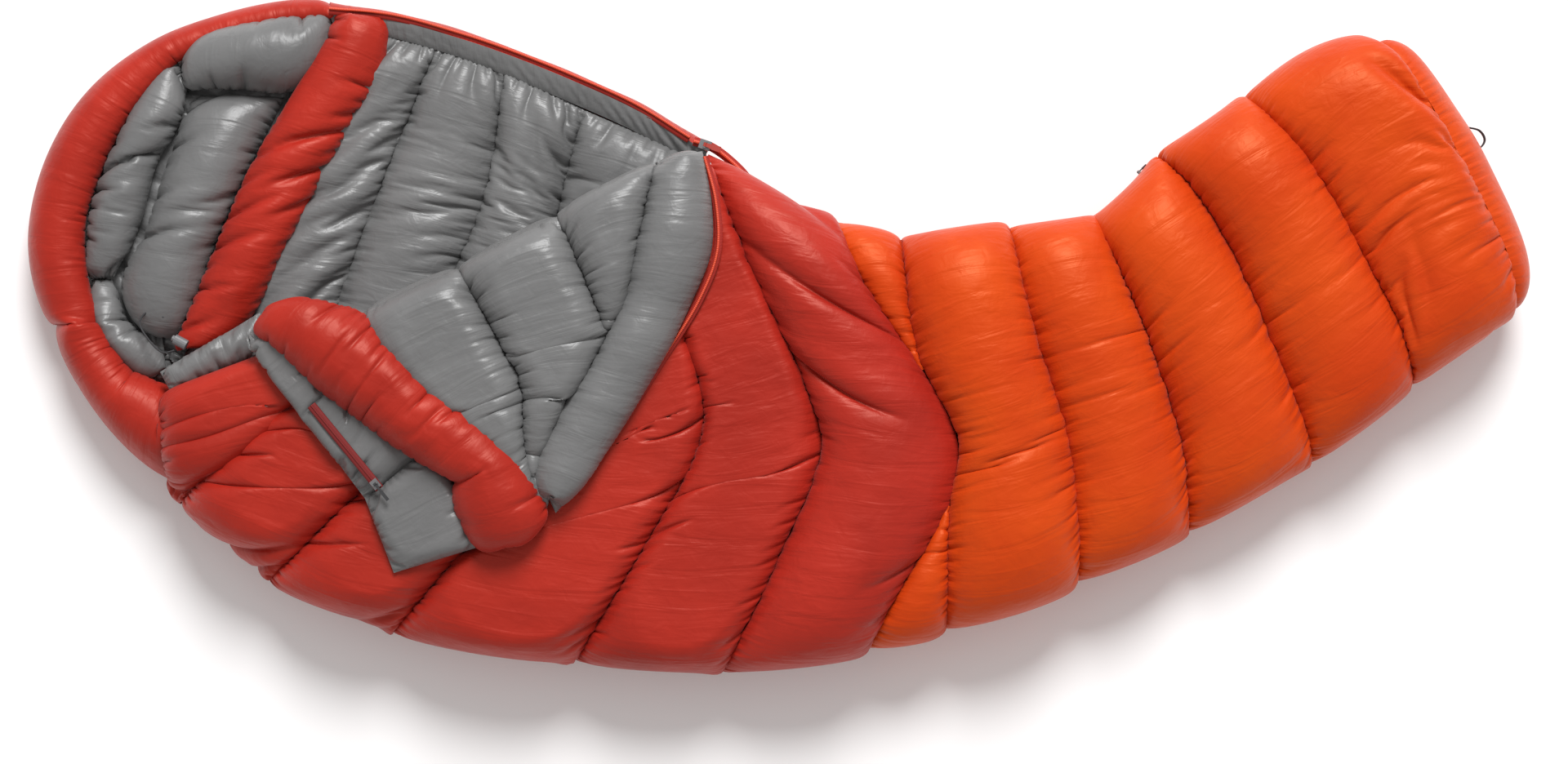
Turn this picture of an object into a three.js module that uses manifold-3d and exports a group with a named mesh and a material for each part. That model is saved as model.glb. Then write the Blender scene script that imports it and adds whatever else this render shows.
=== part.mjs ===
// Mummy sleeping bag, unzipped from the hood to the waist with its chest flap folded open.
// Millimetres, +Z up. The bag lies on z = 0, foot towards +X and hood towards -X, zip side towards +Y.
import * as THREE from 'three';
import Module from 'manifold-3d';

// Heights of the filled bag above the floor
const MID = 80; // height of the side line, where front and back pads meet
const CAVITY = 25; // half the height of the space for the sleeper
const SIDE_ROUND = 130; // how far in from a side the pads reach their full height
const ZIP_GROOVE = 15; // half the height of the slot that the closed zip lies in
const FLAP_SOLE = 158; // underside of the folded flap
const GAP = 0.3; // space kept between neighbouring solids
const RIM = 1.6; // thickness of a pad where it runs out to nothing

// The zip
const TAPE_THICK = 1.2;
const TAPE_WIDE = 13; // one side of the zip
const COIL_WIDE = 4.4;
const COIL_THICK = 2.4;

// How finely the pads are divided
const ALONG = 5; // from one seam to the next
const ACROSS = 11; // along a seam

const cloths = {
  shell_red: { color: 0xad2f27, roughness: 0.55, metalness: 0 },
  shell_orange: { color: 0xd84318, roughness: 0.55, metalness: 0 },
  lining_grey: { color: 0x6f6e6e, roughness: 0.5, metalness: 0 },
  tape_red: { color: 0xc8321c, roughness: 0.75, metalness: 0 },
  zip_red: { color: 0xd8391f, roughness: 0.5, metalness: 0 },
  slider_metal: { color: 0x9a9a9c, roughness: 0.35, metalness: 0.9 },
  pull_plastic: { color: 0x8e1f1c, roughness: 0.5, metalness: 0 },
  lock_plastic: { color: 0x77787a, roughness: 0.45, metalness: 0 },
  cord_dark: { color: 0x2b2b2d, roughness: 0.8, metalness: 0 },
};
const materials = Object.fromEntries(
  Object.entries(cloths).map(([name, look]) => [name, new THREE.MeshStandardMaterial({ name, ...look })]),
);

const bag = new THREE.Group();
bag.name = 'mummy_sleeping_bag';

function add(name, material, geometry) {
  const mesh = new THREE.Mesh(geometry, materials[material]);
  mesh.name = name;
  bag.add(mesh);
  return mesh;
}

// ---------------------------------------------------------------- lines in plan

// A smooth line in plan through a few points
function line(...points) {
  const vectors = points.map(([x, y]) => new THREE.Vector3(x, y, 0));
  return new THREE.CatmullRomCurve3(vectors, false, 'centripetal');
}

// The point at share s of a line, carried straight on beyond either end
function pointOn(curve, s) {
  const inside = THREE.MathUtils.clamp(s, 0, 1);
  const point = curve.getPointAt(inside);
  const beyond = (s - inside) * curve.getLength();
  return point.addScaledVector(curve.getTangentAt(inside), beyond);
}

// Seams of the shell, from the zip side to the other side
const END = line([812, 398], [878, 350], [940, 274], [984, 192], [1008, 114], [1006, 70], [986, 20]);
const TOE = line([806, 400], [856, 346], [896, 268], [946, 172], [976, 98], [980, 50], [974, 16]);
const LEG_1_MIDDLE = line([736, 418], [812, 312], [874, 180], [906, 70], [922, -26]);
const LEG_1 = line([626, 326], [664, 290], [714, 230], [780, 114], [840, -6], [854, -68]);
const LEG_2 = line([516, 238], [560, 196], [614, 104], [664, -6], [714, -138], [720, -174]);
const LEG_3 = line([432, 152], [466, 76], [504, -18], [544, -150], [554, -266]);
const LEG_4 = line([310, 152], [328, 76], [350, -12], [384, -116], [400, -216], [404, -334]);
const LEG_5 = line([168, 134], [180, 16], [196, -44], [242, -138], [230, -226], [228, -398]);
const WAIST = line([64, 160], [108, 82], [188, -40], [236, -138], [222, -226], [164, -336], [114, -422]);
const TORSO_MIDDLE = line([-2, 196], [38, 92], [98, -40], [148, -160], [108, -292], [20, -442]);
const TORSO = line([-92, 246], [-78, 196], [-28, 76], [42, -72], [60, -144], [-2, -304], [-72, -448]);
const CHEST_1 = line([-208, 202], [-166, 92], [-98, -72], [-96, -128], [-178, -282], [-270, -428]);
const CHEST_2 = line([-288, 168], [-252, 38], [-238, -72], [-276, -160], [-422, -292], [-512, -390]);
const CHEST_3 = line([-420, 102], [-386, 16], [-398, -62], [-474, -138], [-580, -228], [-676, -320]);
const CHEST_4 = line([-606, 20], [-580, -18], [-606, -52], [-674, -100], [-790, -204]);
const NECK = line([-826, -66], [-822, -130], [-802, -194]);

// Seams of the back, which run straight across
const BACK_LEG_5 = line([168, 134], [228, -398]);
const BACK_TORSO = line([38, 160], [64, -138], [54, -432]);
const BACK_CHEST_1 = line([-92, 246], [-112, -94], [-122, -450]);
const BACK_CHEST_2 = line([-254, 346], [-288, 158], [-310, -446]);
const BACK_CHEST_3 = line([-364, 388], [-398, 192], [-442, 82], [-496, -398]);
const BACK_CHEST_4 = line([-458, 416], [-524, 246], [-596, 54], [-666, -324]);
const BACK_NECK = line([-596, 440], [-700, 202], [-804, -28], [-800, -196]);

// ---------------------------------------------------------------- filled pads

const clamp01 = (t) => THREE.MathUtils.clamp(t, 0, 1);
const rounded = (t) => Math.sqrt(1 - (1 - clamp01(t)) ** 2);
const eased = (t) => THREE.MathUtils.smoothstep(t, 0, 1);
const between = (a, b, t) => a + (b - a) * t;
const fullness = (u) => Math.sin(Math.PI * clamp01(u)) ** 0.6;

// A closed solid from a grid of top points and one of bottom points, wall to wall
function solidBetween(top, bottom) {
  const rows = top.length;
  const columns = top[0].length;
  const positions = [...top.flat(), ...bottom.flat()].flatMap((p) => p.toArray());
  const index = [];
  const at = (side, i, j) => side * rows * columns + i * columns + j;
  const quad = (a, b, c, d) => index.push(a, b, c, a, c, d);
  for (let i = 0; i < rows - 1; i += 1) {
    for (let j = 0; j < columns - 1; j += 1) {
      quad(at(0, i, j), at(0, i + 1, j), at(0, i + 1, j + 1), at(0, i, j + 1));
      quad(at(1, i, j), at(1, i, j + 1), at(1, i + 1, j + 1), at(1, i + 1, j));
    }
  }
  for (let i = 0; i < rows - 1; i += 1) {
    quad(at(0, i, 0), at(1, i, 0), at(1, i + 1, 0), at(0, i + 1, 0));
    quad(at(0, i + 1, columns - 1), at(1, i + 1, columns - 1), at(1, i, columns - 1), at(0, i, columns - 1));
  }
  for (let j = 0; j < columns - 1; j += 1) {
    quad(at(0, 0, j + 1), at(1, 0, j + 1), at(1, 0, j), at(0, 0, j));
    quad(at(0, rows - 1, j), at(1, rows - 1, j), at(1, rows - 1, j + 1), at(0, rows - 1, j + 1));
  }
  return outward(closedGeometry(positions, index));
}

function closedGeometry(positions, index) {
  const geometry = new THREE.BufferGeometry();
  geometry.setAttribute('position', new THREE.Float32BufferAttribute(positions, 3));
  geometry.setIndex(index);
  return geometry;
}

// The same closed geometry with its faces turned outward, whichever way its grid ran
function outward(geometry) {
  const p = geometry.attributes.position;
  const index = geometry.index.array;
  const [a, b, c] = [new THREE.Vector3(), new THREE.Vector3(), new THREE.Vector3()];
  let volume = 0;
  for (let i = 0; i < index.length; i += 3) {
    a.fromBufferAttribute(p, index[i]);
    b.fromBufferAttribute(p, index[i + 1]);
    c.fromBufferAttribute(p, index[i + 2]);
    volume += a.dot(b.cross(c));
  }
  if (volume < 0) {
    for (let i = 0; i < index.length; i += 3) {
      [index[i + 1], index[i + 2]] = [index[i + 2], index[i + 1]];
    }
  }
  geometry.computeVertexNormals();
  return geometry;
}

// A pad stretched over two or more lines. `bulge` is how far its two ends swell past the lines' ends.
// `top` and `bottom` give heights from u, the share of the way over the lines, and the distances to the ends.
function pad({ lines, top, bottom, bulge = [0, 0], from = 0, to = 1, gap = GAP, along = ALONG, across = ACROSS }) {
  const tops = [];
  const bottoms = [];
  for (let i = 0; i <= along; i += 1) {
    const topRow = [];
    const bottomRow = [];
    for (let j = 0; j <= across; j += 1) {
      const v = 0.5 - 0.5 * Math.cos((Math.PI * j) / across);
      const s = between(from, to, v);
      const length = between(lines[0].getLength(), lines.at(-1).getLength(), i / along);
      const swell = fullness(i / along) * (between(-bulge[0], bulge[1], v) / length);
      const ends = lines.map((curve) => pointOn(curve, s + swell * Math.abs(2 * v - 1) ** 2));
      const bridge = new THREE.CatmullRomCurve3(ends, false, 'centripetal');
      const inset = Math.min(gap / bridge.getLength(), 0.5);
      const u = i / along;
      const plan = bridge.getPoint(between(inset, 1 - inset, u));
      const [d0, d1] = [v * (to - from) * length, (1 - v) * (to - from) * length];
      const low = bottom(u, d0, d1);
      const high = Math.max(top(u, d0, d1), low + RIM);
      topRow.push(new THREE.Vector3(plan.x, plan.y, high));
      bottomRow.push(new THREE.Vector3(plan.x, plan.y, low));
    }
    tops.push(topRow);
    bottoms.push(bottomRow);
  }
  return solidBetween(tops, bottoms);
}

// How an end of a pad meets the outline: 'side' closes on the other pad, 'zip' leaves the slot for the zip,
// 'fold' is cut off at the fold and 'seam' is cut off inside the bag
const atSide = (d, end) => (end === 'side' || end === 'zip' ? rounded(d / SIDE_ROUND) : 1);
const overCavity = (d, end) => (end === 'side' || end === 'zip' ? eased((d - 35) / 60) : 1);
const atCut = (d, end) => (end === 'fold' ? rounded(d / 30) : 1);
const slot = (d, end) => (end === 'zip' ? ZIP_GROOVE * (1 - eased((d - 50) / 40)) : 0);

function frontPad(name, material, lines, { crown = 156, seam = 128, ends = ['zip', 'side'], ...rest }) {
  const floor = (d0, d1) => {
    const open = CAVITY * overCavity(d0, ends[0]) * overCavity(d1, ends[1]);
    return MID + Math.max(GAP + open, slot(d0, ends[0]), slot(d1, ends[1]));
  };
  const bottom = (u, d0, d1) => floor(d0, d1);
  const top = (u, d0, d1) => {
    const rise = between(seam, crown, fullness(u)) - MID;
    const sides = MID + rise * atSide(d0, ends[0]) * atSide(d1, ends[1]);
    return between(floor(d0, d1), sides, atCut(d0, ends[0]) * atCut(d1, ends[1]));
  };
  const bulge = ends.map((end) => (end === 'side' || end === 'zip' ? 9 : 0));
  return add(name, material, pad({ lines, top, bottom, bulge, ...rest }));
}

function backPad(name, material, lines, { ends = ['zip', 'side'], ...rest } = {}) {
  const ceiling = (d0, d1) => {
    const open = CAVITY * overCavity(d0, ends[0]) * overCavity(d1, ends[1]);
    return MID - Math.max(GAP + open, slot(d0, ends[0]), slot(d1, ends[1]));
  };
  const top = (u, d0, d1) => ceiling(d0, d1);
  const bottom = (u, d0, d1) => {
    const drop = between(72, 94, fullness(u)) * atSide(d0, ends[0]) * atSide(d1, ends[1]);
    return Math.min(Math.max(MID - drop, 0), ceiling(d0, d1) - RIM);
  };
  return add(name, material, pad({ lines, top, bottom, bulge: [9, 9], ...rest }));
}

// A pad lying loose on what is under it: flat sole, rounded over to its edges
function cushion(name, material, lines, { sole, crown, seam = crown - 12, edge = 40, ends = [1, 1], ...rest }) {
  const top = (u, d0, d1) => {
    const sides = (ends[0] ? rounded(d0 / edge) : 1) * (ends[1] ? rounded(d1 / edge) : 1);
    return between(sole, between(seam, crown, fullness(u)), sides);
  };
  return add(name, material, pad({ lines, top, bottom: () => sole, ...rest }));
}

// A filled tube lying across its lines: round from end to end of each line
function roll(name, material, lines, { sole, crown, ends = [0.6, 0.6], ...rest }) {
  const middle = between(sole, crown, 0.45);
  const round = (d0, d1) => rounded((2 * Math.min(d0, d1)) / (d0 + d1));
  const tip = (u) => rounded(u / ends[0]) * rounded((1 - u) / ends[1]);
  const fill = (u) => Math.max(tip(u), 0.35);
  const top = (u, d0, d1) => between(middle, crown, round(d0, d1) * fill(u));
  const bottom = (u, d0, d1) => between(middle - RIM, sole, Math.min(round(d0, d1) * 1.25, 1) * fill(u));
  return add(name, material, pad({ lines, top, bottom, ...rest }));
}

// ---------------------------------------------------------------- the bag's body

function footEnd() {
  const top = (u, d0, d1) => {
    const rise = between(46, 8, u ** 2);
    return MID + rise * atSide(d0, 'side') * atSide(d1, 'side');
  };
  const bottom = (u, d0, d1) => MID - between(74, 34, u ** 2) * atSide(d0, 'side') * atSide(d1, 'side');
  add('foot_cap', 'shell_orange', pad({ lines: [TOE, END], top, bottom }));
  return ['foot_cap'];
}

function legs() {
  const fronts = [
    [[TOE, LEG_1_MIDDLE, LEG_1], 144],
    [[LEG_1, LEG_2], 148],
    [[LEG_2, LEG_3], 151],
    [[LEG_3, LEG_4], 153],
    [[LEG_4, LEG_5], 156],
  ];
  fronts.forEach(([lines, crown], i) => {
    const ends = i < 2 ? ['side', 'side'] : ['zip', 'side'];
    frontPad(`front_leg_${i + 1}`, 'shell_orange', lines, { crown, seam: crown - 27, ends });
  });
  backPad('back_leg_1', 'shell_orange', [TOE, LEG_1_MIDDLE, LEG_1], { ends: ['side', 'side'] });
  backPad('back_leg_2', 'shell_orange', [LEG_1, LEG_2], { ends: ['side', 'side'] });
  backPad('back_leg_3', 'shell_orange', [LEG_2, LEG_3]);
  backPad('back_leg_4', 'shell_orange', [LEG_3, LEG_4]);
  backPad('back_leg_5', 'shell_orange', [LEG_4, BACK_LEG_5]);
}

// Two wedges of leg cloth between the last leg seam and the pointed waist seam
function gussets() {
  const crown = 148;
  frontPad('front_gusset_zip_side', 'shell_orange', [LEG_5, WAIST], {
    crown, seam: 128, ends: ['zip', 'seam'], to: 0.3, gap: 1.2, along: 3, across: 8,
  });
  frontPad('front_gusset_low_side', 'shell_orange', [LEG_5, WAIST], {
    crown, seam: 128, ends: ['seam', 'side'], from: 0.66, gap: 1.2, along: 3, across: 8,
  });
}

function torso() {
  frontPad('front_torso_1', 'shell_red', [WAIST, TORSO_MIDDLE, TORSO], {});
  frontPad('front_torso_2', 'shell_red', [TORSO, CHEST_1], { ends: ['fold', 'side'] });
  backPad('back_torso_1', 'shell_red', [BACK_LEG_5, BACK_TORSO]);
  backPad('back_torso_2', 'shell_red', [BACK_TORSO, BACK_CHEST_1]);
  const fronts = [
    [CHEST_1, CHEST_2],
    [CHEST_2, CHEST_3],
    [CHEST_3, CHEST_4],
    [CHEST_4, NECK],
  ];
  fronts.forEach((lines, i) => {
    frontPad(`front_chest_${i + 1}`, 'shell_red', lines, { ends: ['fold', 'side'] });
  });
  const backs = [
    [BACK_CHEST_1, BACK_CHEST_2],
    [BACK_CHEST_2, BACK_CHEST_3],
    [BACK_CHEST_3, BACK_CHEST_4],
    [BACK_CHEST_4, BACK_NECK],
  ];
  backs.forEach((lines, i) => backPad(`back_chest_${i + 1}`, 'lining_grey', lines));
}

// ---------------------------------------------------------------- the hood

function hood() {
  const rim = [
    line([-606, 441], [-608, 449]),
    line([-716, 426], [-724, 438]),
    line([-810, 386], [-830, 402]),
    line([-854, 334], [-900, 366]),
    line([-882, 290], [-948, 318]),
    line([-914, 224], [-986, 240]),
    line([-936, 158], [-1008, 164]),
    line([-934, 82], [-1004, 92]),
    line([-920, 16], [-984, 20]),
    line([-882, -40], [-942, -56]),
    line([-848, -58], [-892, -128]),
    line([-829, -66], [-825, -130], [-805, -196]),
  ];
  const shell = { sole: 2, crown: 100, ends: [0.05, 0.05], along: 8, across: 9 };
  roll('hood_shell_top', 'shell_red', rim.slice(0, 4), { ...shell, crown: 94 });
  roll('hood_shell_side', 'shell_red', rim.slice(3, 9), { ...shell, along: 10 });
  roll('hood_shell_low', 'shell_red', rim.slice(8), { ...shell, crown: 108 });

  const base = [
    line([-716, 420], [-626, 384]),
    line([-802, 380], [-664, 300]),
    line([-864, 300], [-704, 204]),
    line([-922, 192], [-746, 120]),
    line([-928, 92], [-778, 46]),
    line([-904, 4], [-808, -20]),
    line([-842, -50], [-818, -46]),
  ];
  cushion('hood_back', 'lining_grey', base, { sole: 0, crown: 40, seam: 32, edge: 60, along: 8 });

  const upper = [
    line([-794, 386], [-802, 342]),
    line([-716, 418], [-728, 342]),
    line([-662, 432], [-666, 338]),
    line([-609, 438], [-624, 380]),
  ];
  cushion('hood_lining_top', 'lining_grey', upper, { sole: 41, crown: 100, along: 7, across: 8 });

  const side = [
    line([-818, 374], [-804, 346]),
    line([-868, 304], [-812, 290]),
    line([-906, 230], [-842, 236]),
    line([-929, 164], [-866, 152]),
    line([-928, 82], [-904, 88]),
  ];
  cushion('hood_lining_side', 'lining_grey', side, { sole: 41, crown: 94, edge: 26, along: 7, across: 8 });

  const low = [
    line([-928, 76], [-904, 76]),
    line([-914, 20], [-886, 26]),
    line([-876, -32], [-856, -4]),
    line([-834, -52], [-826, -42]),
  ];
  cushion('hood_lining_low', 'lining_grey', low, { sole: 41, crown: 86, edge: 18, along: 6, across: 6 });

  const pillow = [
    line([-796, 332], [-670, 328]),
    line([-828, 236], [-716, 236]),
    line([-858, 136], [-762, 136]),
    line([-890, 72], [-788, 60]),
    line([-846, 0], [-820, -10]),
  ];
  cushion('hood_pillow', 'lining_grey', pillow, { sole: 41, crown: 80, seam: 58, edge: 34, along: 8, across: 8 });
}

// ---------------------------------------------------------------- the neck

function neck() {
  const collar = [
    line([-596, 436], [-526, 428]),
    line([-608, 404], [-530, 374]),
    line([-662, 316], [-568, 304]),
    line([-716, 224], [-612, 224]),
    line([-758, 126], [-664, 126]),
    line([-796, 26], [-716, 28]),
    line([-817, -38], [-772, -16]),
  ];
  roll('back_collar', 'shell_red', collar, { sole: 67, crown: 104, ends: [0.04, 0.04], along: 10, across: 8 });

  const strip = [
    line([-820, -40], [-815, -51]),
    line([-772, -10], [-764, -29]),
    line([-742, 10], [-732, -13]),
    line([-722, 18], [-714, -3]),
  ];
  const roundOff = { sole: 108, crown: 154, ends: [0.1, 0.1], along: 6, across: 6 };
  roll('neck_binding', 'lining_grey', strip, roundOff);
}

// ---------------------------------------------------------------- the folded flap

function flap() {
  const draftInner = line([-162, 218], [-194, 92], [-232, -18], [-288, -94], [-326, -178]);
  const draftOuter = line([-104, 240], [-90, 180], [-90, 114], [-116, 48], [-154, -28], [-236, -160], [-296, -228]);
  cushion('flap_draft_tube', 'lining_grey', [draftInner, draftOuter], {
    sole: FLAP_SOLE, crown: 196, seam: 172, edge: 25, across: 12,
  });

  // each flap baffle ends against the draft tube
  const first = line([-170, 212], [-203, 92], [-213, 50]);
  const second = line([-288, 164], [-250, 82], [-222, 36]);
  const third = line([-420, 98], [-364, 4], [-330, -72], [-336, -140]);
  const fourth = line([-534, 40], [-496, -18], [-420, -66], [-350, -138]);
  const baffle = { sole: FLAP_SOLE, crown: 203, seam: 184, edge: 30, across: 9 };
  cushion('flap_baffle_1', 'lining_grey', [first, second], { ...baffle, crown: 194, along: 4 });
  const middle = line([-292, 160], [-254, 78], [-226, 18], [-288, -84], [-329, -140]);
  cushion('flap_baffle_2', 'lining_grey', [middle, third], { ...baffle });
  cushion('flap_baffle_3', 'lining_grey', [third, fourth], { ...baffle, along: 4 });

  const collar = [
    line([-694, -18], [-560, 38]),
    line([-650, -30], [-532, 20]),
    line([-606, -48], [-520, 0]),
    line([-552, -82], [-498, -32]),
    line([-486, -134], [-430, -76]),
    line([-430, -178], [-366, -132]),
    line([-416, -222], [-316, -204]),
    line([-386, -270], [-302, -244]),
  ];
  roll('flap_collar', 'shell_red', collar, {
    sole: FLAP_SOLE, crown: 210, ends: [0.05, 0.1], along: 12, across: 8,
  });

  const chin = [
    line([-698, -22], [-696, -24]),
    line([-668, -52], [-652, -34]),
    line([-624, -106], [-608, -54]),
    line([-574, -172], [-554, -88]),
    line([-538, -216], [-488, -140]),
    line([-524, -266], [-434, -184]),
    line([-510, -312], [-392, -276]),
  ];
  cushion('flap_chin', 'lining_grey', chin, { sole: FLAP_SOLE, crown: 181, edge: 20, along: 9, across: 7 });
}

// ---------------------------------------------------------------- zips and cords

// A closed bar along a path. `section` lists its corners as [sideways, upwards] and `lean` turns it about the path.
function bar(points, section, { lean = () => 0, steps = 24 } = {}) {
  const path = new THREE.CatmullRomCurve3(points.map((p) => new THREE.Vector3(...p)), false, 'centripetal');
  const rings = [];
  for (let i = 0; i <= steps; i += 1) {
    const at = path.getPointAt(i / steps);
    const ahead = path.getTangentAt(i / steps);
    const side = new THREE.Vector3(-ahead.y, ahead.x, 0).normalize();
    const up = new THREE.Vector3().crossVectors(ahead, side).normalize();
    const angle = lean(i / steps);
    const [cos, sin] = [Math.cos(angle), Math.sin(angle)];
    rings.push(section.map(([a, b]) => at.clone()
      .addScaledVector(side, a * cos - b * sin)
      .addScaledVector(up, a * sin + b * cos)));
  }
  return tube(rings);
}

// A closed solid through rings of points, capped flat at both ends
function tube(rings) {
  const n = rings[0].length;
  const positions = rings.flat().flatMap((p) => p.toArray());
  const index = [];
  for (let i = 0; i < rings.length - 1; i += 1) {
    for (let j = 0; j < n; j += 1) {
      const [a, b] = [i * n + j, i * n + ((j + 1) % n)];
      index.push(a, a + n, b + n, a, b + n, b);
    }
  }
  const last = (rings.length - 1) * n;
  for (let j = 1; j < n - 1; j += 1) {
    index.push(0, j, j + 1, last, last + j + 1, last + j);
  }
  return outward(closedGeometry(positions, index));
}

const rectangle = (a0, a1, b0, b1) => [[a0, b0], [a1, b0], [a1, b1], [a0, b1]];
function oval(a, b, wide, high, corners = 6) {
  return Array.from({ length: corners }, (_, i) => {
    const angle = (2 * Math.PI * (i + 0.5)) / corners;
    return [a + (wide / 2) * Math.cos(angle), b + (high / 2) * Math.sin(angle)];
  });
}

const wasm = await Module();
wasm.setup();

function toManifold(geometry) {
  const vertProperties = new Float32Array(geometry.attributes.position.array);
  const triVerts = new Uint32Array(geometry.index.array);
  const mesh = new wasm.Mesh({ numProp: 3, vertProperties, triVerts });
  mesh.merge();
  return new wasm.Manifold(mesh);
}

function fromManifold(solid) {
  const mesh = solid.getMesh();
  return outward(closedGeometry(Array.from(mesh.vertProperties), Array.from(mesh.triVerts)));
}

function block(x0, x1, y0, y1, z0, z1) {
  const box = new THREE.BoxGeometry(x1 - x0, y1 - y0, z1 - z0);
  box.translate((x0 + x1) / 2, (y0 + y1) / 2, (z0 + z1) / 2);
  box.deleteAttribute('normal');
  box.deleteAttribute('uv');
  return toManifold(box);
}

function rod(radius, length, segments = 12) {
  const cylinder = new THREE.CylinderGeometry(radius, radius, length, segments);
  cylinder.deleteAttribute('normal');
  cylinder.deleteAttribute('uv');
  return toManifold(cylinder); // its axis is Y
}

// A zip slider over a straight run of coil: x along the zip, z away from the tape, its bail's pin along y
const PIN_HIGH = 9.2;
function sliderBody(scale = 1) {
  const roof = block(-8, 8, -6.5, 6.5, 3.4, 5.2);
  const left = block(-8, 8, 3.2, 6.5, 1.0, 3.6);
  const right = block(-8, 8, -6.5, -3.2, 1.0, 3.6);
  const ears = block(-1.6, 1.6, 3.0, 4.6, 5.0, 10.8).add(block(-1.6, 1.6, -4.6, -3.0, 5.0, 10.8));
  const pin = rod(0.9, 6.4, 8).translate([0, 0, PIN_HIGH]);
  return roof.add(left).add(right).add(ears).add(pin).scale(scale);
}

// A pull tab that lies along +x from the bail's pin, which its eye turns on
function pullTab(length, wide, scale = 1) {
  const eye = rod(2.2, 5.2, 12);
  const blade = block(1.2, length, -wide / 2, wide / 2, -0.8, 0.8);
  const grip = block(length * 0.45, length, -wide / 2 - 0.6, wide / 2 + 0.6, -1.3, 1.3);
  const neckGap = block(1.0, 6.0, 2.6, wide, -2, 2).add(block(1.0, 6.0, -wide, -2.6, -2, 2));
  const tab = eye.add(blade.subtract(neckGap)).add(grip).subtract(rod(1.25, 8, 12));
  return tab.translate([0, 0, PIN_HIGH]).scale(scale);
}

// Stand a solid made at the origin at a point of the bag: `heading` about Z, after `lean` about its own x
function stand(solid, [x, y, z], heading, lean = 0) {
  return fromManifold(solid.rotate([lean, 0, 0]).rotate([0, 0, heading]).translate([x, y, z]));
}

// The straight first run of the closed zip, which the main slider moves on
const RUN_START = [-106, 264];
const RUN_HEADING = -19; // degrees from +X
const RUN_LENGTH = 56;
const runDirection = [Math.cos((RUN_HEADING * Math.PI) / 180), Math.sin((RUN_HEADING * Math.PI) / 180)];
const onRun = (distance, z = MID) => [
  RUN_START[0] + runDirection[0] * distance,
  RUN_START[1] + runDirection[1] * distance,
  z,
];

// The straight last run of the closed zip, for the lower slider
const LAST_START = [452, 176];
const LAST_HEADING = 44;
const LAST_LENGTH = 72;
const lastDirection = [Math.cos((LAST_HEADING * Math.PI) / 180), Math.sin((LAST_HEADING * Math.PI) / 180)];
const onLast = (distance, z = MID) => [
  LAST_START[0] + lastDirection[0] * distance,
  LAST_START[1] + lastDirection[1] * distance,
  z,
];

function mainZip() {
  // the edge of the back: the tape lies flat with the coil along its outer edge
  const back = [[-604, 452, 84], [-518, 444, 80], [-430, 421, 76], [-364, 399, 76], [-276, 364, 76],
    [-188, 322, 78], [-118, 272, 81]];
  add('zip_tape_back', 'tape_red', bar(back, rectangle(-6, 4, -3, -3 + TAPE_THICK), { steps: 14 }));
  add('zip_coil_back', 'zip_red', bar(back, oval(2, 0.2, COIL_WIDE, COIL_THICK * 1.6), { steps: 14 }));

  // the edge of the flap, at the height of the flap
  const high = FLAP_SOLE + 8;
  const front = [[-99, 238, high], [-84, 180, high], [-84, 114, high], [-110, 46, high], [-148, -30, high],
    [-230, -162, high], [-291, -233, high]];
  add('zip_tape_flap', 'tape_red', bar(front, rectangle(-1, 9, -3, -3 + TAPE_THICK), { steps: 16 }));
  add('zip_coil_flap', 'zip_red', bar(front, oval(3.6, 0.2, COIL_WIDE, COIL_THICK * 1.6), { steps: 16 }));

  // the closed zip starts flat, outside the pads, and turns on edge into the slot between them
  const closed = [onRun(0), onRun(RUN_LENGTH / 2), onRun(RUN_LENGTH), [-22, 226, MID], [-2, 190, MID],
    [22, 160, MID], [64, 151, MID], [166, 126, MID], [240, 142, MID], [320, 144, MID], [424, 148, MID],
    onLast(0), onLast(LAST_LENGTH)];
  const length = new THREE.CatmullRomCurve3(closed.map((p) => new THREE.Vector3(...p)), false, 'centripetal')
    .getLength();
  const turn = { steps: 60, lean: (t) => (-Math.PI / 2) * eased((t * length - RUN_LENGTH) / 90) };
  const half = TAPE_THICK / 2;
  const tape = [[-TAPE_WIDE, -half], [0, -half], [TAPE_WIDE, -half], [TAPE_WIDE, half], [0, half], [-TAPE_WIDE, half]];
  add('zip_tape_closed', 'tape_red', bar(closed, tape, turn));
  const coil = oval(0, half + 0.4 + COIL_THICK / 2, COIL_WIDE + 0.6, COIL_THICK - 0.4, 5);
  add('zip_coil_closed', 'zip_red', bar(closed, coil, turn));
}

function sliders() {
  add('main_slider', 'slider_metal', stand(sliderBody(), onRun(10), RUN_HEADING));
  add('main_pull', 'pull_plastic', stand(pullTab(22, 6.6), onRun(10), RUN_HEADING));
  add('lower_slider', 'slider_metal', stand(sliderBody(), onLast(60), LAST_HEADING, -90));
  add('lower_pull', 'cord_dark', stand(pullTab(14, 4), onLast(60), LAST_HEADING, -90));
}

// The small zipped pocket on the chin piece, straight from one end to the other
const POCKET_HIGH = 184;
const POCKET = [[-612, -90, POCKET_HIGH], [-522, -200, POCKET_HIGH]];
const POCKET_HEADING = (Math.atan2(-110, 90) * 180) / Math.PI;
const POCKET_SLIDER_AT = [-527.2, -193.6, POCKET_HIGH];

function pocket() {
  add('pocket_zip_tape', 'shell_red', bar(POCKET, rectangle(-5, 5, -1.2, 0.6), { steps: 2 }));
  add('pocket_zip_coil', 'zip_red', bar(POCKET, oval(0, 1.6, 3, 1.6), { steps: 2 }));
  add('pocket_slider', 'slider_metal', stand(sliderBody(0.8), POCKET_SLIDER_AT, POCKET_HEADING));
  add('pocket_pull', 'cord_dark', stand(pullTab(34, 4, 0.8), POCKET_SLIDER_AT, POCKET_HEADING));
}

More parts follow.
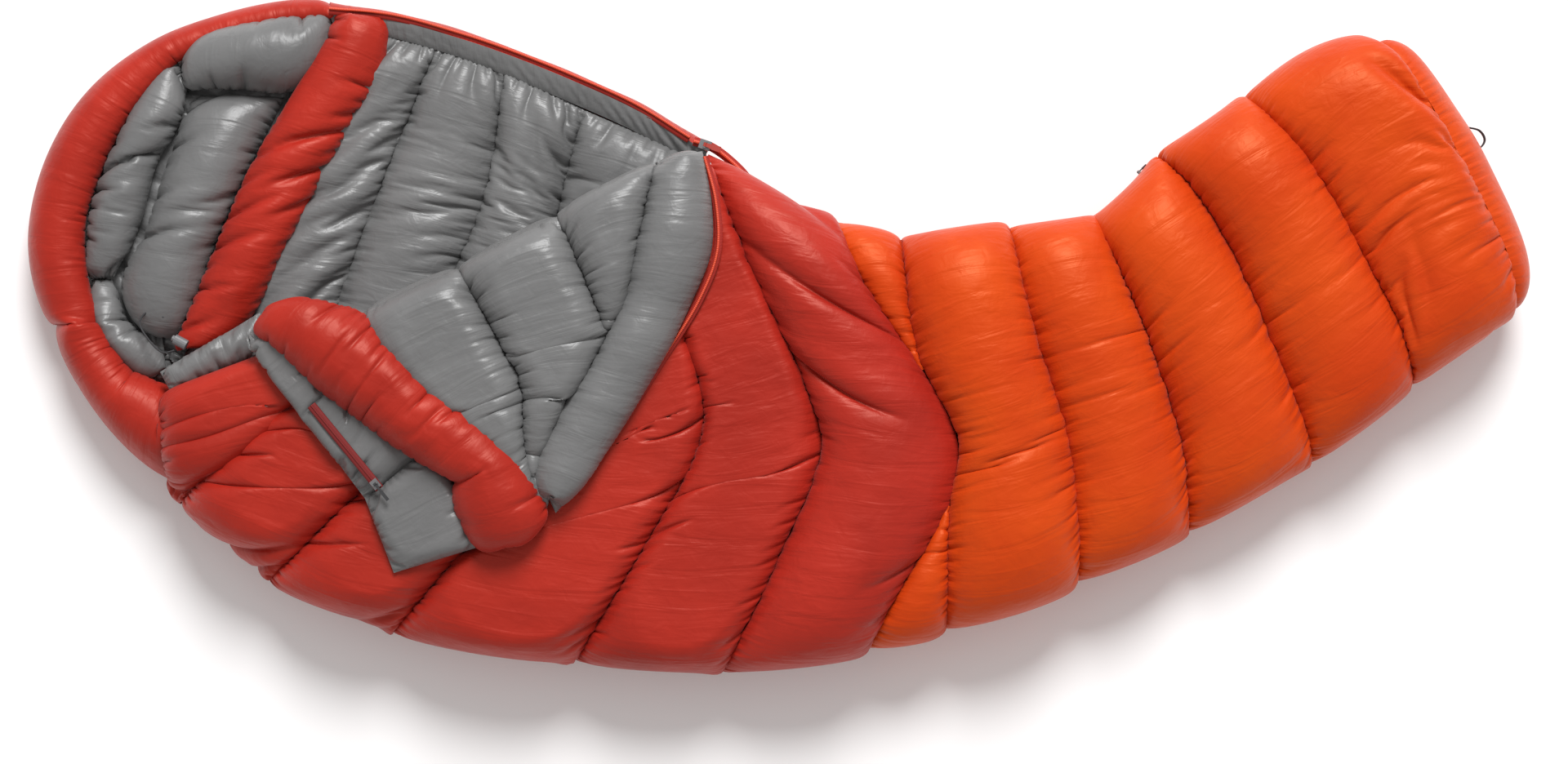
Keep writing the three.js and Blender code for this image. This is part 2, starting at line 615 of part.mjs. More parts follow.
// The cord lock on the end of the collar, its sprung button and the loop of cord that hangs out of it
const LOCK_AT = [-798, -6, 114];
const LOCK_HEADING = 62;
function collarLock() {
  const shell = rod(7, 18, 16).subtract(rod(4.6, 14, 12).translate([0, 3, 0]));
  const button = rod(4.2, 13, 12).translate([0, 6, 0]);
  add('collar_lock', 'lock_plastic', stand(shell, LOCK_AT, LOCK_HEADING));
  add('collar_lock_button', 'lock_plastic', stand(button, LOCK_AT, LOCK_HEADING));
  const loop = [[-806, -17, 114], [-822, -20, 111], [-846, 0, 98], [-858, 22, 90], [-846, 36, 88], [-826, 28, 88]];
  add('collar_cord', 'cord_dark', bar(loop, oval(0, 0, 2.6, 2.6, 8), { steps: 20 }));
}

function hangLoop() {
  const loop = [[939, 285, MID], [954, 279, MID], [961, 265, MID], [953, 258, MID]];
  add('hang_loop', 'cord_dark', bar(loop, rectangle(-0.8, 0.8, -4, 4), { steps: 12 }));
}

footEnd();
legs();
gussets();
torso();
hood();
neck();
flap();
mainZip();
sliders();
pocket();
collarLock();
hangLoop();

export default bag;
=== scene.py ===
"""Mummy sleeping bag in Blender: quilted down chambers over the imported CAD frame. Metres, +Z up."""

import bpy
import numpy as np
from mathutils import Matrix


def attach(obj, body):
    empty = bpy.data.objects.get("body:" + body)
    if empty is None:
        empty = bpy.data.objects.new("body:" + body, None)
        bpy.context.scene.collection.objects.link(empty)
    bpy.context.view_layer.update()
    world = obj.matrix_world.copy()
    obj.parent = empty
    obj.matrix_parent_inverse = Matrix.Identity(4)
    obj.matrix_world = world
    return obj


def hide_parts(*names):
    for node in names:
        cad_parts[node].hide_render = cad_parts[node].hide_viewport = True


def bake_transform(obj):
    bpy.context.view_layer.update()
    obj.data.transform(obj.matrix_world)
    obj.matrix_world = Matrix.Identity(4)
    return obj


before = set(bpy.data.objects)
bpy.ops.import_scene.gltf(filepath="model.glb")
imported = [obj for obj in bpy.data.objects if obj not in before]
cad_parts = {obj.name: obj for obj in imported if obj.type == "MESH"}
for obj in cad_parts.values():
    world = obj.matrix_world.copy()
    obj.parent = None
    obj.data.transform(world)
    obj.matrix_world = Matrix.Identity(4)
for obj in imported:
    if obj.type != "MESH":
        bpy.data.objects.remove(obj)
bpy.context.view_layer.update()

# The filled bag, in metres above the floor
MID = 0.080  # the side line, where front and back meet
UNDERSIDE = 0.010  # the seams under the bag
FLAP_SOLE = 0.158  # underside of the folded flap
SIDE_ROUND = 0.092  # how far in from a side the shell reaches its full height

# Cloth sewn into chambers
FLAT_BELOW = 0.070  # height up to which the sides lie flat and tight
FULL_RISE = 0.050  # how much higher they are blown up in full
TIGHT = 0.06  # share by which the cloth of the low sides is cut short
GATHER_REACH = 0.016  # how far the gathers of a seam run into a chamber
LUMP = 0.09  # size of the lumps of down
RIPPLE_HEIGHT = 0.0011  # ripples of a gathered seam
RIPPLE_LENGTH = 0.012

# The inflation: rounds at a quarter, at half and at full fineness, and how much the cloth resists shear
ROUNDS = (150, 110, 90)
SHEAR = 0.25

# How finely the cloth is divided, in metres
CELL_ACROSS = 0.0042  # from one seam to the next
CELL_ALONG = 0.0030  # along a seam


# ---------------------------------------------------------------- lines in plan


class Line:
    """A smooth centripetal line through a few points in millimetres, carried straight on past its ends."""

    SAMPLES = 40

    def __init__(self, *points):
        p = np.array(points, float) / 1000
        if p.shape[1] == 2:
            p = np.column_stack([p, np.zeros(len(p))])
        if len(p) == 2:
            t = np.linspace(0, 1, self.SAMPLES)[:, None]
            self.points = p[0] * (1 - t) + p[1] * t
        else:
            p = np.vstack([2 * p[0] - p[1], p, 2 * p[-1] - p[-2]])
            spans = [self._span(p[k : k + 4]) for k in range(len(p) - 3)]
            self.points = np.vstack(spans + [p[-2]])
        steps = np.linalg.norm(np.diff(self.points, axis=0), axis=1)
        keep = np.r_[True, steps > 1e-9]
        self.points = self.points[keep]
        self.at = np.r_[0, np.cumsum(steps[steps > 1e-9])]
        self.length = self.at[-1]

    def _span(self, q):
        dt = np.maximum(np.sqrt(np.linalg.norm(np.diff(q, axis=0), axis=1)), 1e-6)
        knot = np.r_[0, np.cumsum(dt)]
        t = np.linspace(knot[1], knot[2], self.SAMPLES, endpoint=False)[:, None]

        def mix(a, b, ta, tb):
            return ((tb - t) * a + (t - ta) * b) / (tb - ta)

        a = [mix(q[k], q[k + 1], knot[k], knot[k + 1]) for k in range(3)]
        b = [mix(a[k], a[k + 1], knot[k], knot[k + 2]) for k in range(2)]
        return mix(b[0], b[1], knot[1], knot[2])

    def __call__(self, distance):
        d = np.atleast_1d(np.asarray(distance, float))
        inside = np.clip(d, 0, self.length)
        out = np.column_stack([np.interp(inside, self.at, self.points[:, k]) for k in range(3)])
        start = self.points[0] - self.points[1]
        end = self.points[-1] - self.points[-2]
        start, end = start / np.linalg.norm(start), end / np.linalg.norm(end)
        out += np.minimum(d, 0)[:, None] * -start + np.maximum(d - self.length, 0)[:, None] * end
        return out


# Seams of the shell, from the zip side to the other side
END = Line([806, 393], [864, 344], [935, 268], [978, 186], [1001, 112], [1000, 72], [978, 34])
TOE = Line([806, 393], [852, 340], [896, 266], [946, 172], [977, 100], [983, 66], [978, 34])
LEG_1_MIDDLE = Line([731, 427], [812, 312], [874, 180], [906, 70], [922, -26])
LEG_1 = Line([626, 326], [664, 290], [714, 230], [780, 114], [840, -6], [854, -68])
LEG_2 = Line([510, 248], [560, 196], [614, 104], [664, -6], [714, -138], [720, -174])
LEG_3 = Line([430, 158], [466, 76], [504, -18], [544, -150], [554, -266])
LEG_4 = Line([310, 152], [328, 76], [350, -12], [384, -116], [400, -216], [404, -334])
LEG_5 = Line([168, 134], [180, 16], [196, -44], [242, -138], [230, -226], [228, -398])
WAIST = Line([64, 160], [108, 82], [194, -42], [241, -138], [229, -226], [164, -336], [114, -422])
TORSO_MIDDLE = Line([-2, 160], [38, 92], [98, -40], [148, -160], [108, -292], [20, -442])
TORSO = Line([-92, 246], [-78, 196], [-28, 76], [42, -72], [60, -144], [-2, -304], [-72, -448])
CHEST_1 = Line([-208, 202], [-166, 92], [-98, -72], [-96, -128], [-178, -282], [-270, -428])
CHEST_2 = Line([-288, 168], [-252, 38], [-238, -72], [-276, -160], [-422, -292], [-512, -390])
CHEST_3 = Line([-420, 102], [-386, 16], [-398, -62], [-474, -138], [-580, -228], [-676, -320])
CHEST_4 = Line([-606, 20], [-580, -18], [-606, -52], [-674, -100], [-794, -212])
NECK = Line([-826, -66], [-824, -130], [-820, -188])


# ---------------------------------------------------------------- cloth


def smooth(t):
    t = np.clip(t, 0, 1)
    return t * t * (3 - 2 * t)


def rounded(t):
    return np.sqrt(np.maximum(1 - (1 - np.clip(t, 0, 1)) ** 2, 0))


def resample(points, count):
    """The same polyline with its points evenly spaced."""
    at = np.r_[0, np.cumsum(np.linalg.norm(np.diff(points, axis=0), axis=1))]
    t = np.linspace(0, at[-1], count)
    return np.column_stack([np.interp(t, at, points[:, k]) for k in range(3)])


def polyline_length(points):
    return np.linalg.norm(np.diff(points, axis=0), axis=1).sum()


def fours(n):
    """The next multiple of four, eight at least, so that a grid can be halved twice."""
    return max(8, int(4 * np.ceil(n / 4)))


def normals(P):
    du = np.gradient(P, axis=0)
    dv = np.gradient(P, axis=1)
    n = np.cross(du, dv)
    return n / np.maximum(np.linalg.norm(n, axis=2, keepdims=True), 1e-12)


def pull_together(P, free, a, b, rest, stiff):
    """Moves the points of slices a and b of the grid until they are `rest` apart."""
    d = P[b] - P[a]
    length = np.linalg.norm(d, axis=2)
    wa, wb = free[a], free[b]
    move = (stiff * (length - rest) / np.maximum(length, 1e-9) / np.maximum(wa + wb, 1e-9))[..., None] * d
    P[a] += move * wa[..., None]
    P[b] -= move * wb[..., None]


def parity(n, step, start):
    """Every other pair of neighbours, `step` apart, as index arrays."""
    first = np.arange(n - step)
    first = first[(first // step) % 2 == start]
    return first, first + step


def inflate(P, free, blown, rest_u, rest_v, pressure, rounds, floor, ceiling, bend):
    """Blows a sewn sheet up until its cloth is tight, as many small steps of pressure and stretch limits."""
    P = P.copy()
    m, n = P.shape[:2]
    pairs = []
    for start in (0, 1):
        a, b = parity(m, 1, start)
        pairs.append((np.ix_(a, np.arange(n)), np.ix_(b, np.arange(n)), rest_u[a], 1.0))
        a, b = parity(n, 1, start)
        pairs.append((np.ix_(np.arange(m), a), np.ix_(np.arange(m), b), rest_v[:, a], 1.0))
    ru = 0.5 * (rest_u[:, :-1] + rest_u[:, 1:])
    rv = 0.5 * (rest_v[:-1] + rest_v[1:])
    cross = np.sqrt(ru**2 + rv**2)
    for start in (0, 1):
        a, b = parity(m, 1, start)
        k = np.arange(n - 1)
        pairs.append((np.ix_(a, k), np.ix_(b, k + 1), cross[a], SHEAR))
        pairs.append((np.ix_(a, k + 1), np.ix_(b, k), cross[a], SHEAR))
    push = (free * blown * pressure)[..., None]
    for _ in range(rounds):
        P += push * normals(P)
        for a, b, rest, stiff in pairs:
            pull_together(P, free, a, b, rest, stiff)
        around = P.copy()
        around[1:-1, 1:-1] = 0.25 * (P[2:, 1:-1] + P[:-2, 1:-1] + P[1:-1, 2:] + P[1:-1, :-2])
        P += (bend * free[..., None]) * (around - P)
        P[..., 2] = np.clip(P[..., 2], floor, ceiling)
    return P


def halved(rest, axis):
    """Rest lengths of the grid with every other row or column left out."""
    if axis == 0:
        return (rest[0::2] + rest[1::2])[:, ::2]
    return (rest[:, 0::2] + rest[:, 1::2])[::2]


def doubled(D):
    """A coarse grid of offsets on the grid with twice as many cells."""
    m, n = D.shape[:2]
    out = np.zeros((2 * m - 1, 2 * n - 1, D.shape[2]))
    out[::2, ::2] = D
    out[1::2, ::2] = 0.5 * (D[:-1] + D[1:])
    out[:, 1::2] = 0.5 * (out[:, :-1:2] + out[:, 2::2])
    return out


def blow_up(base, free, blown, rest_u, rest_v, pressure, floor, ceiling, seed, bend):
    """Inflates a grid at a quarter, at half and at full fineness. `pressure` is per metre of cell."""
    random = np.random.default_rng(seed)
    levels = [(base, free, blown, rest_u, rest_v)]
    for _ in range(2):
        b, f, w, ru, rv = levels[-1]
        levels.append((b[::2, ::2], f[::2, ::2], w[::2, ::2], halved(ru, 0), halved(rv, 1)))
    offset = None
    for (b, f, w, ru, rv), turns in zip(reversed(levels), ROUNDS):
        cell = float(np.mean(rv))
        offset = np.zeros_like(b) if offset is None else doubled(offset)[: b.shape[0], : b.shape[1]]
        shaken = random.normal(0, 0.05 * cell, b.shape) * f[..., None]
        softness = bend if len(b) < len(base) else 0.4 * bend
        P = inflate(b + offset + shaken, f, w, ru, rv, pressure * cell, turns, floor, ceiling, bend=softness)
        offset = P - b
    return P


class Cloth:
    """A quilted sheet between sewn lines. Rows run from the first line to the last, columns along them."""

    def __init__(self, lines, lift=0.1, slack_across=1.045, slack_along=1.0, shared=0.35, sewn_sides=False,
                 sewn_start=False, by_height=False, up=(0, 0, 1), cell=1.0, gather=0.13, lumpy=0.03,
                 ribbed=False):
        longest = max(polyline_length(p) for p in lines)
        self.n = fours(longest / (CELL_ALONG * cell))
        lines = np.array([resample(p, self.n + 1) for p in lines])
        chord = np.linalg.norm(np.diff(lines, axis=0), axis=2)
        total = chord.sum(0)
        self.m = fours(total.max() * slack_across / (CELL_ACROSS * cell))
        self.size = (total.mean(), longest)
        share = np.r_[0, np.cumsum(chord.mean(1))] / chord.mean(1).sum()
        t = np.linspace(0, 1, self.m + 1)
        base = hermite(lines, share, t)
        n = normals(base)
        self.turned = (n @ np.array(up, float)).mean() < 0
        if self.turned:
            n = -n
        on_top = smooth((lines[:, :, 2].mean(0) - FLAT_BELOW) / FULL_RISE)
        side = 0.3 + 0.7 * on_top if by_height else np.ones(self.n + 1)
        if sewn_start:
            side *= rounded(np.arange(self.n + 1) * CELL_ALONG * cell / 0.04)
        if sewn_sides:
            side = np.sin(np.pi * np.linspace(0, 1, self.n + 1)) ** 0.5
        bulge = np.sin(np.pi * t)[:, None] * (lift * total * side)[None, :]
        self.base = base + n * bulge[..., None]
        self.free = np.ones((self.m + 1, self.n + 1))
        self.free[0] = self.free[-1] = 0
        if sewn_sides or sewn_start:
            self.free[:, 0] = 0
        if sewn_sides:
            self.free[:, -1] = 0
        # cloth between the seams: nearly as wide in the inner bend as in the outer one, and fuller on top
        full = 0.05 + 0.95 * on_top if by_height else np.ones(self.n + 1)
        self.blown = np.repeat((0.25 + 0.75 * full)[None], self.m + 1, axis=0)
        cut_to = (1 - shared) * total + shared * total.max()
        wide = (1 + (slack_across - 1) * full - TIGHT * (1 - full)) * cut_to
        self.rest_u = np.repeat(wide[None] / self.m, self.m, axis=0)
        # and gathered along the seams by their stitches
        steps = np.linalg.norm(np.diff(self.base, axis=1), axis=2)
        from_seam = np.minimum(t, 1 - t) * total.mean()
        longer = slack_along + gather * np.exp(-from_seam / GATHER_REACH)
        lengths = np.maximum(steps.sum(1), 0.5 * (steps.sum(1) + steps.sum(1)[self.m // 2]))
        if ribbed:
            from_side = np.minimum(np.arange(self.n + 1), np.arange(self.n, -1, -1)) * longest / self.n
            self.rest_u = self.rest_u * (1 + gather * np.exp(-from_side / GATHER_REACH))[None]
            longer = slack_along * np.ones(self.m + 1)
        self.rest_v = np.repeat((lengths * longer / self.n)[:, None], self.n, axis=1)
        lumps = patches(self.m, self.n + 1, LUMP / CELL_ACROSS, int(total.sum()))
        self.rest_u = self.rest_u * (1 + lumpy * lumps)

    def simulate(self, pressure, **options):
        outward = -pressure if self.turned else pressure
        return blow_up(self.base, self.free, self.blown, self.rest_u, self.rest_v, outward, **options)


def patches(m, n, size, seed):
    """A smooth random pattern between about -1 and 1 whose patches are `size` cells wide."""
    random = np.random.default_rng(seed)
    coarse = random.normal(0, 0.6, (int(m / size) + 3, int(n / size) + 3))
    rows = np.linspace(0, coarse.shape[0] - 1.001, m)
    columns = np.linspace(0, coarse.shape[1] - 1.001, n)
    r, c = rows.astype(int), columns.astype(int)
    fr, fc = smooth(rows - r)[:, None], smooth(columns - c)[None]
    top = coarse[np.ix_(r, c)] * (1 - fc) + coarse[np.ix_(r, c + 1)] * fc
    low = coarse[np.ix_(r + 1, c)] * (1 - fc) + coarse[np.ix_(r + 1, c + 1)] * fc
    return top * (1 - fr) + low * fr


def hermite(stack, share, t):
    """Rows at t through three or more lines at their shares, smooth from one to the next."""
    out = np.zeros((len(t),) + stack.shape[1:])
    slope = np.gradient(stack, share, axis=0)
    for k in range(len(share) - 1):
        inside = (t >= share[k]) & (t <= share[k + 1])
        h = share[k + 1] - share[k]
        x = ((t[inside] - share[k]) / h)[:, None, None]
        out[inside] = (
            (2 * x**3 - 3 * x**2 + 1) * stack[k]
            + (x**3 - 2 * x**2 + x) * h * slope[k]
            + (3 * x**2 - 2 * x**3) * stack[k + 1]
            + (x**3 - x**2) * h * slope[k + 1]
        )
    return out


def wavy(points, seed):
    """The line of a seam that its stitches have gathered: small even ripples, up and down and sideways."""
    random = np.random.default_rng(seed)
    count = int(polyline_length(points) / RIPPLE_LENGTH * 2) + 2
    at = np.linspace(0, 1, len(points))
    knots = np.linspace(0, 1, count)
    out = points.copy()
    out[:, 2] += np.interp(at, knots, random.normal(0, RIPPLE_HEIGHT, count))
    out[:, 0] += np.interp(at, knots, random.normal(0, 0.8 * RIPPLE_HEIGHT, count))
    return out


def closer_at_ends(length, count):
    """Distances along a line, closer together near its ends."""
    return (0.5 - 0.5 * np.cos(np.pi * np.linspace(0, 1, count))) * length


def section(line, high, seed, start="side", radius=SIDE_ROUND, reach=-0.006):
    """A seam over the top of the bag, from its underside at one side to its underside at the other.
    One that starts at the fold begins there, on top of the bag, instead. `reach` widens it at its ends."""
    from_fold, fold_rise, fold_round = 0.02, 0.03, 0.03
    turn = np.linspace(0, np.pi / 2, 24)
    inward = SIDE_ROUND * (1 - np.cos(turn))
    rise = np.sin(turn)
    length = line.length
    d = closer_at_ends(length, 240)
    if start == "side":
        over = line(d * (1 + 2 * reach / length) - reach)
        grow = rounded((length - d) / radius) * rounded(d / radius)
        over[:, 2] = MID + (high - MID) * grow
        under = line(inward[::-1] - reach)
        under[:, 2] = MID - (MID - UNDERSIDE) * rise[::-1]
        parts = [under[:-1], over]
    else:
        at_fold = MID + fold_rise
        d = from_fold + d * (1 - from_fold / length)
        over = line(d * (1 + reach / length))
        grow = rounded((length - d) / radius)
        over[:, 2] = MID + (high - MID) * grow
        roll = at_fold + (high - at_fold) * rounded((d - from_fold) / fold_round)
        over[:, 2] = np.minimum(over[:, 2], roll)
        parts = [over]
    under = line(length + reach - inward)
    under[:, 2] = MID - (MID - UNDERSIDE) * rise
    parts.append(under[1:])
    return wavy(np.vstack(parts), seed)


def level(line, z, seed=None, samples=120, trim=(0, 0)):
    """A line in plan at the heights z, which are spread evenly along it, with `trim` left out at its ends."""
    d = np.linspace(trim[0], line.length - trim[1], samples)
    points = line(d)
    heights = np.atleast_1d(np.asarray(z, float))
    points[:, 2] = np.interp(np.linspace(0, 1, samples), np.linspace(0, 1, len(heights)), heights)
    return points if seed is None else wavy(points, seed)


def over_sides(line, high):
    """A line over the top of the bag, or under it, from side line to side line."""
    d = closer_at_ends(line.length, 160)
    points = line(d)
    points[:, 2] = MID + (high - MID) * rounded(d / SIDE_ROUND) * rounded((line.length - d) / SIDE_ROUND)
    return points


def cut(points, near, keep):
    """The part of a seam before or after the point that is nearest in plan to a point in millimetres."""
    away = np.linalg.norm(points[:, :2] - np.array(near) / 1000, axis=1)
    below = (points[:, 2] < MID) * 1.0
    k = int(np.argmin(away + below))
    return points[: k + 1] if keep == "before" else points[k:]


# ---------------------------------------------------------------- materials


def srgb(r, g, b):
    """A linear colour from the eight-bit colour that is seen."""
    c = np.array([r, g, b]) / 255
    return tuple(np.where(c <= 0.04045, c / 12.92, ((c + 0.055) / 1.055) ** 2.4)) + (1.0,)


def bump(tree, height, strength, distance, over=None):
    """The normal of a surface with this height. `over` is the normal that it is laid over."""
    node = tree.nodes.new("ShaderNodeBump")
    node.inputs["Strength"].default_value = strength
    node.inputs["Distance"].default_value = distance
    tree.links.new(height, node.inputs["Height"])
    if over:
        tree.links.new(over, node.inputs["Normal"])
    return node.outputs["Normal"]


def two_tone(tree, share, low, high, low_at=0.0, high_at=1.0):
    """A colour between two, by a share."""
    ramp = tree.nodes.new("ShaderNodeValToRGB")
    for k, (colour, at) in enumerate(((low, low_at), (high, high_at))):
        ramp.color_ramp.elements[k].position = at
        ramp.color_ramp.elements[k].color = colour
    tree.links.new(share, ramp.inputs["Fac"])
    return ramp.outputs["Color"]


def darker(colour, share):
    return tuple(share * c for c in colour[:3]) + (1,)


CRINKLE, CRINKLE_DEPTH = 0.5, 0.0024  # strength and height of the folds and crinkles of the cloth
GATHERED, FOLDED = 2.4, 2.2  # share of the gathers beside the seams, and of the long folds
GATHER_FADE = 45.0  # how fast the gathers die out, per metre from the seam


def nylon(name, colour, deep, rough=0.42, gloss_level=0.45, tint=(1, 1, 1, 1)):
    """Thin down-proof nylon: a fine plain weave, soft crinkles and a satin gloss."""
    m = bpy.data.materials.new(name)
    m.use_nodes = True
    t = m.node_tree
    n, link = t.nodes, t.links.new
    bsdf = n["Principled BSDF"]
    where = n.new("ShaderNodeTexCoord").outputs["Object"]
    flat = n.new("ShaderNodeUVMap").outputs["UV"]

    def noise(scale, detail, distort=0.0, across=where, kind="FBM"):
        node = n.new("ShaderNodeTexNoise")
        node.noise_type = kind
        node.inputs["Scale"].default_value = scale
        node.inputs["Detail"].default_value = detail
        node.inputs["Distortion"].default_value = distort
        link(across, node.inputs["Vector"])
        return node.outputs["Fac"]

    def along_seams(lengthwise, crosswise):
        """The way across the chamber and the way along its seams, stretched."""
        node = n.new("ShaderNodeMapping")
        node.inputs["Scale"].default_value = (lengthwise, crosswise, 1)
        link(flat, node.inputs["Vector"])
        return node.outputs["Vector"]

    def maths(kind, a, b):
        node = n.new("ShaderNodeMath")
        node.operation = kind
        for k, value in enumerate((a, b)):
            if isinstance(value, (int, float)):
                node.inputs[k].default_value = value
            else:
                link(value, node.inputs[k])
        return node.outputs[0]

    mottle = two_tone(t, noise(7, 4, 0.4), deep, colour, 0.3, 0.62)
    link(mottle, bsdf.inputs["Base Color"])

    gloss = n.new("ShaderNodeMapRange")
    link(noise(30, 3), gloss.inputs["Value"])
    gloss.inputs["To Min"].default_value = rough - 0.07
    gloss.inputs["To Max"].default_value = rough + 0.09
    link(gloss.outputs["Result"], bsdf.inputs["Roughness"])

    def weave(direction):
        node = n.new("ShaderNodeTexWave")
        node.bands_direction = direction
        node.inputs["Scale"].default_value = 420
        link(where, node.inputs["Vector"])
        return node.outputs["Fac"]

    threads = maths("MULTIPLY", maths("ADD", weave("X"), weave("Y")), 0.5)
    fine = bump(t, threads, 0.12, 0.0002)
    ridges = noise(22, 3, 0.5, kind="RIDGED_MULTIFRACTAL")
    # gathers beside the seams: short ridges across the seam that die out towards the middle of the chamber
    gathers = noise(1.0, 2, across=along_seams(16, 120))
    seam = n.new("ShaderNodeAttribute")
    seam.attribute_name = "from_seam"
    near = maths("POWER", 2.718, maths("MULTIPLY", seam.outputs["Fac"], -GATHER_FADE))
    pucker = maths("MULTIPLY", gathers, maths("MULTIPLY", near, GATHERED))
    long_folds = noise(1.0, 3, 0.8, across=along_seams(9, 42))
    crumple = maths("ADD", maths("MULTIPLY", ridges, 0.4), noise(45, 3, 0.6))
    crumple = maths("ADD", crumple, maths("MULTIPLY", long_folds, FOLDED))
    folds = bump(t, maths("ADD", crumple, pucker), CRINKLE, CRINKLE_DEPTH, over=fine)
    link(folds, bsdf.inputs["Normal"])
    bsdf.inputs["Specular IOR Level"].default_value = gloss_level
    bsdf.inputs["Specular Tint"].default_value = tint
    bsdf.inputs["Sheen Weight"].default_value = 0.06
    bsdf.inputs["Sheen Roughness"].default_value = 0.4
    return m


RED = nylon("red_nylon", srgb(168, 38, 26), srgb(150, 30, 20), tint=(1.0, 0.55, 0.45, 1))
ORANGE = nylon("orange_nylon", srgb(199, 66, 13), srgb(188, 54, 10), tint=(1.0, 0.5, 0.25, 1))
GREY = nylon("grey_nylon", srgb(110, 110, 110), srgb(100, 100, 100), rough=0.37, gloss_level=0.5)


# ---------------------------------------------------------------- making pieces


SOLE_STRIPS = 6
SOLE_HEIGHT = 0.004  # the underside of a chamber that goes round the bag, above the floor


def grid_mesh(name, P, material, body, size, replaces=(), close=None, flip=False, ribbed=False):
    """A mesh piece from a grid of points. `close` adds a flat sole between its first and last columns.
    Its UVs hold the way across the chamber and the way along its seams, in metres from the middle and
    the start."""
    m, n = P.shape[:2]
    index = np.arange(m * n).reshape(m, n)
    quads = np.stack([index[:-1, :-1], index[1:, :-1], index[1:, 1:], index[:-1, 1:]], -1).reshape(-1, 4)
    points = P.reshape(-1, 3)
    if close:
        a, b = P[:, -1], P[:, 0]
        share = np.linspace(0, 1, SOLE_STRIPS + 1)[1:-1]
        strip = a[:, None] * (1 - share)[None, :, None] + b[:, None] * share[None, :, None]
        strip[..., 2] = np.minimum(strip[..., 2], close)
        extra = len(points) + np.arange(strip[..., 0].size).reshape(m, SOLE_STRIPS - 1)
        points = np.vstack([points, strip.reshape(-1, 3)])
        sole = np.column_stack([index[:, -1], extra, index[:, 0]])
        more = np.stack([sole[:-1, :-1], sole[1:, :-1], sole[1:, 1:], sole[:-1, 1:]], -1).reshape(-1, 4)
        quads = np.vstack([quads, more])
    if flip:
        quads = quads[:, ::-1]
    mesh = bpy.data.meshes.new(name)
    mesh.from_pydata(points.tolist(), [], quads.tolist())
    mesh.polygons.foreach_set("use_smooth", np.ones(len(quads), bool))
    across = np.repeat((np.arange(m) / (m - 1) - 0.5) * size[0], n)
    along = np.tile(np.arange(n) / (n - 1) * size[1], m)
    extra_rows = len(points) - m * n
    if ribbed:  # its seams are its long sides
        across, along, size = along - size[1] / 2, across + size[0] / 2, size[::-1]
    flat_map = np.vstack([np.column_stack([across, along]), np.zeros((extra_rows, 2))])
    corner = np.zeros(len(mesh.loops), int)
    mesh.loops.foreach_get("vertex_index", corner)
    mesh.uv_layers.new(name="UVMap").data.foreach_set("uv", flat_map[corner].ravel())
    from_seam = np.r_[np.minimum(across + size[0] / 2, size[0] / 2 - across), np.full(extra_rows, 1.0)]
    stored = mesh.attributes.new("from_seam", "FLOAT", "POINT")
    stored.data.foreach_set("value", from_seam.astype(np.float32))
    mesh.materials.append(material)
    mesh.update()
    piece = bpy.data.objects.new(name, mesh)
    bpy.context.collection.objects.link(piece)
    if replaces:
        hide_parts(*replaces)
    if body:
        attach(piece, body)
    return piece


def quilt(name, lines, material, replaces, seed, body="bag", close=None, fill=0.7, pressure=0.02,
          ribbed=False, floor=0.001, ceiling=1.0, bend=0.05, **how):
    """One filled chamber of the bag between its seams."""
    cloth = Cloth(lines, ribbed=ribbed, **how)
    P = cloth.simulate(pressure, floor=floor, ceiling=ceiling, seed=seed, bend=bend)
    return grid_mesh(name, P, material, body, cloth.size, replaces, close=close, flip=cloth.turned,
                     ribbed=ribbed)


def sheet(name, lines, material, body, cell, up, size=None, facing=False):
    """Cloth without a filling. `size` replaces the real one in its UVs, `facing` turns its faces `up`."""
    cloth = Cloth(lines, lift=0.0, slack_across=1.0, shared=0.0, cell=cell, up=up)
    return grid_mesh(name, cloth.base, material, body, size or cloth.size, flip=facing and cloth.turned)


def legs():
    seams = [
        section(TOE, 0.138, seed=11, reach=0),
        section(LEG_1, 0.134, seed=12),
        section(LEG_2, 0.117, seed=13),
        section(LEG_3, 0.112, seed=14),
        section(LEG_4, 0.136, seed=15),
        section(LEG_5, 0.136, seed=16),
    ]
    wide = dict(lift=0.01, slack_across=1.0, pressure=0.009)
    narrow = dict(lift=0.1, slack_across=1.04, pressure=0.02)
    for k in range(5):
        lines = [seams[k], seams[k + 1]]
        if k == 0:
            lines.insert(1, section(LEG_1_MIDDLE, 0.148, seed=17))
        quilt(f"leg_{k + 1}", lines, ORANGE, [f"front_leg_{k + 1}", f"back_leg_{k + 1}"], seed=k + 1,
              close=SOLE_HEIGHT, by_height=True, lumpy=0.06, slack_along=0.97, **(wide if k == 0 else narrow))


def foot():
    toe, end, low = over_sides(TOE, 0.138), over_sides(END, 0.082), over_sides(TOE, UNDERSIDE)
    shoulder = 0.42 * toe + 0.58 * end
    shoulder[:, 2] = 0.12 * MID + 0.88 * toe[:, 2]
    quilt("foot_end", [toe, shoulder, end, low], ORANGE, ["foot_cap"], seed=9, lift=0.0,
          up=(1, 0, 0), sewn_sides=True, slack_across=1.0, gather=0.12, pressure=0.012)


def gussets():
    leg, waist = section(LEG_5, 0.136, seed=16), section(WAIST, 0.134, seed=21)
    zip_side = [cut(leg, (196, -44), "before"), cut(waist, (188, -40), "before")]
    low_side = [cut(leg, (230, -226), "after"), cut(waist, (222, -226), "after")]
    quilt("gusset_zip_side", zip_side, ORANGE, ["front_gusset_zip_side"], seed=31, shared=0.0,
          by_height=True)
    quilt("gusset_low_side", low_side, ORANGE, ["front_gusset_low_side"], seed=32, shared=0.0,
          by_height=True)


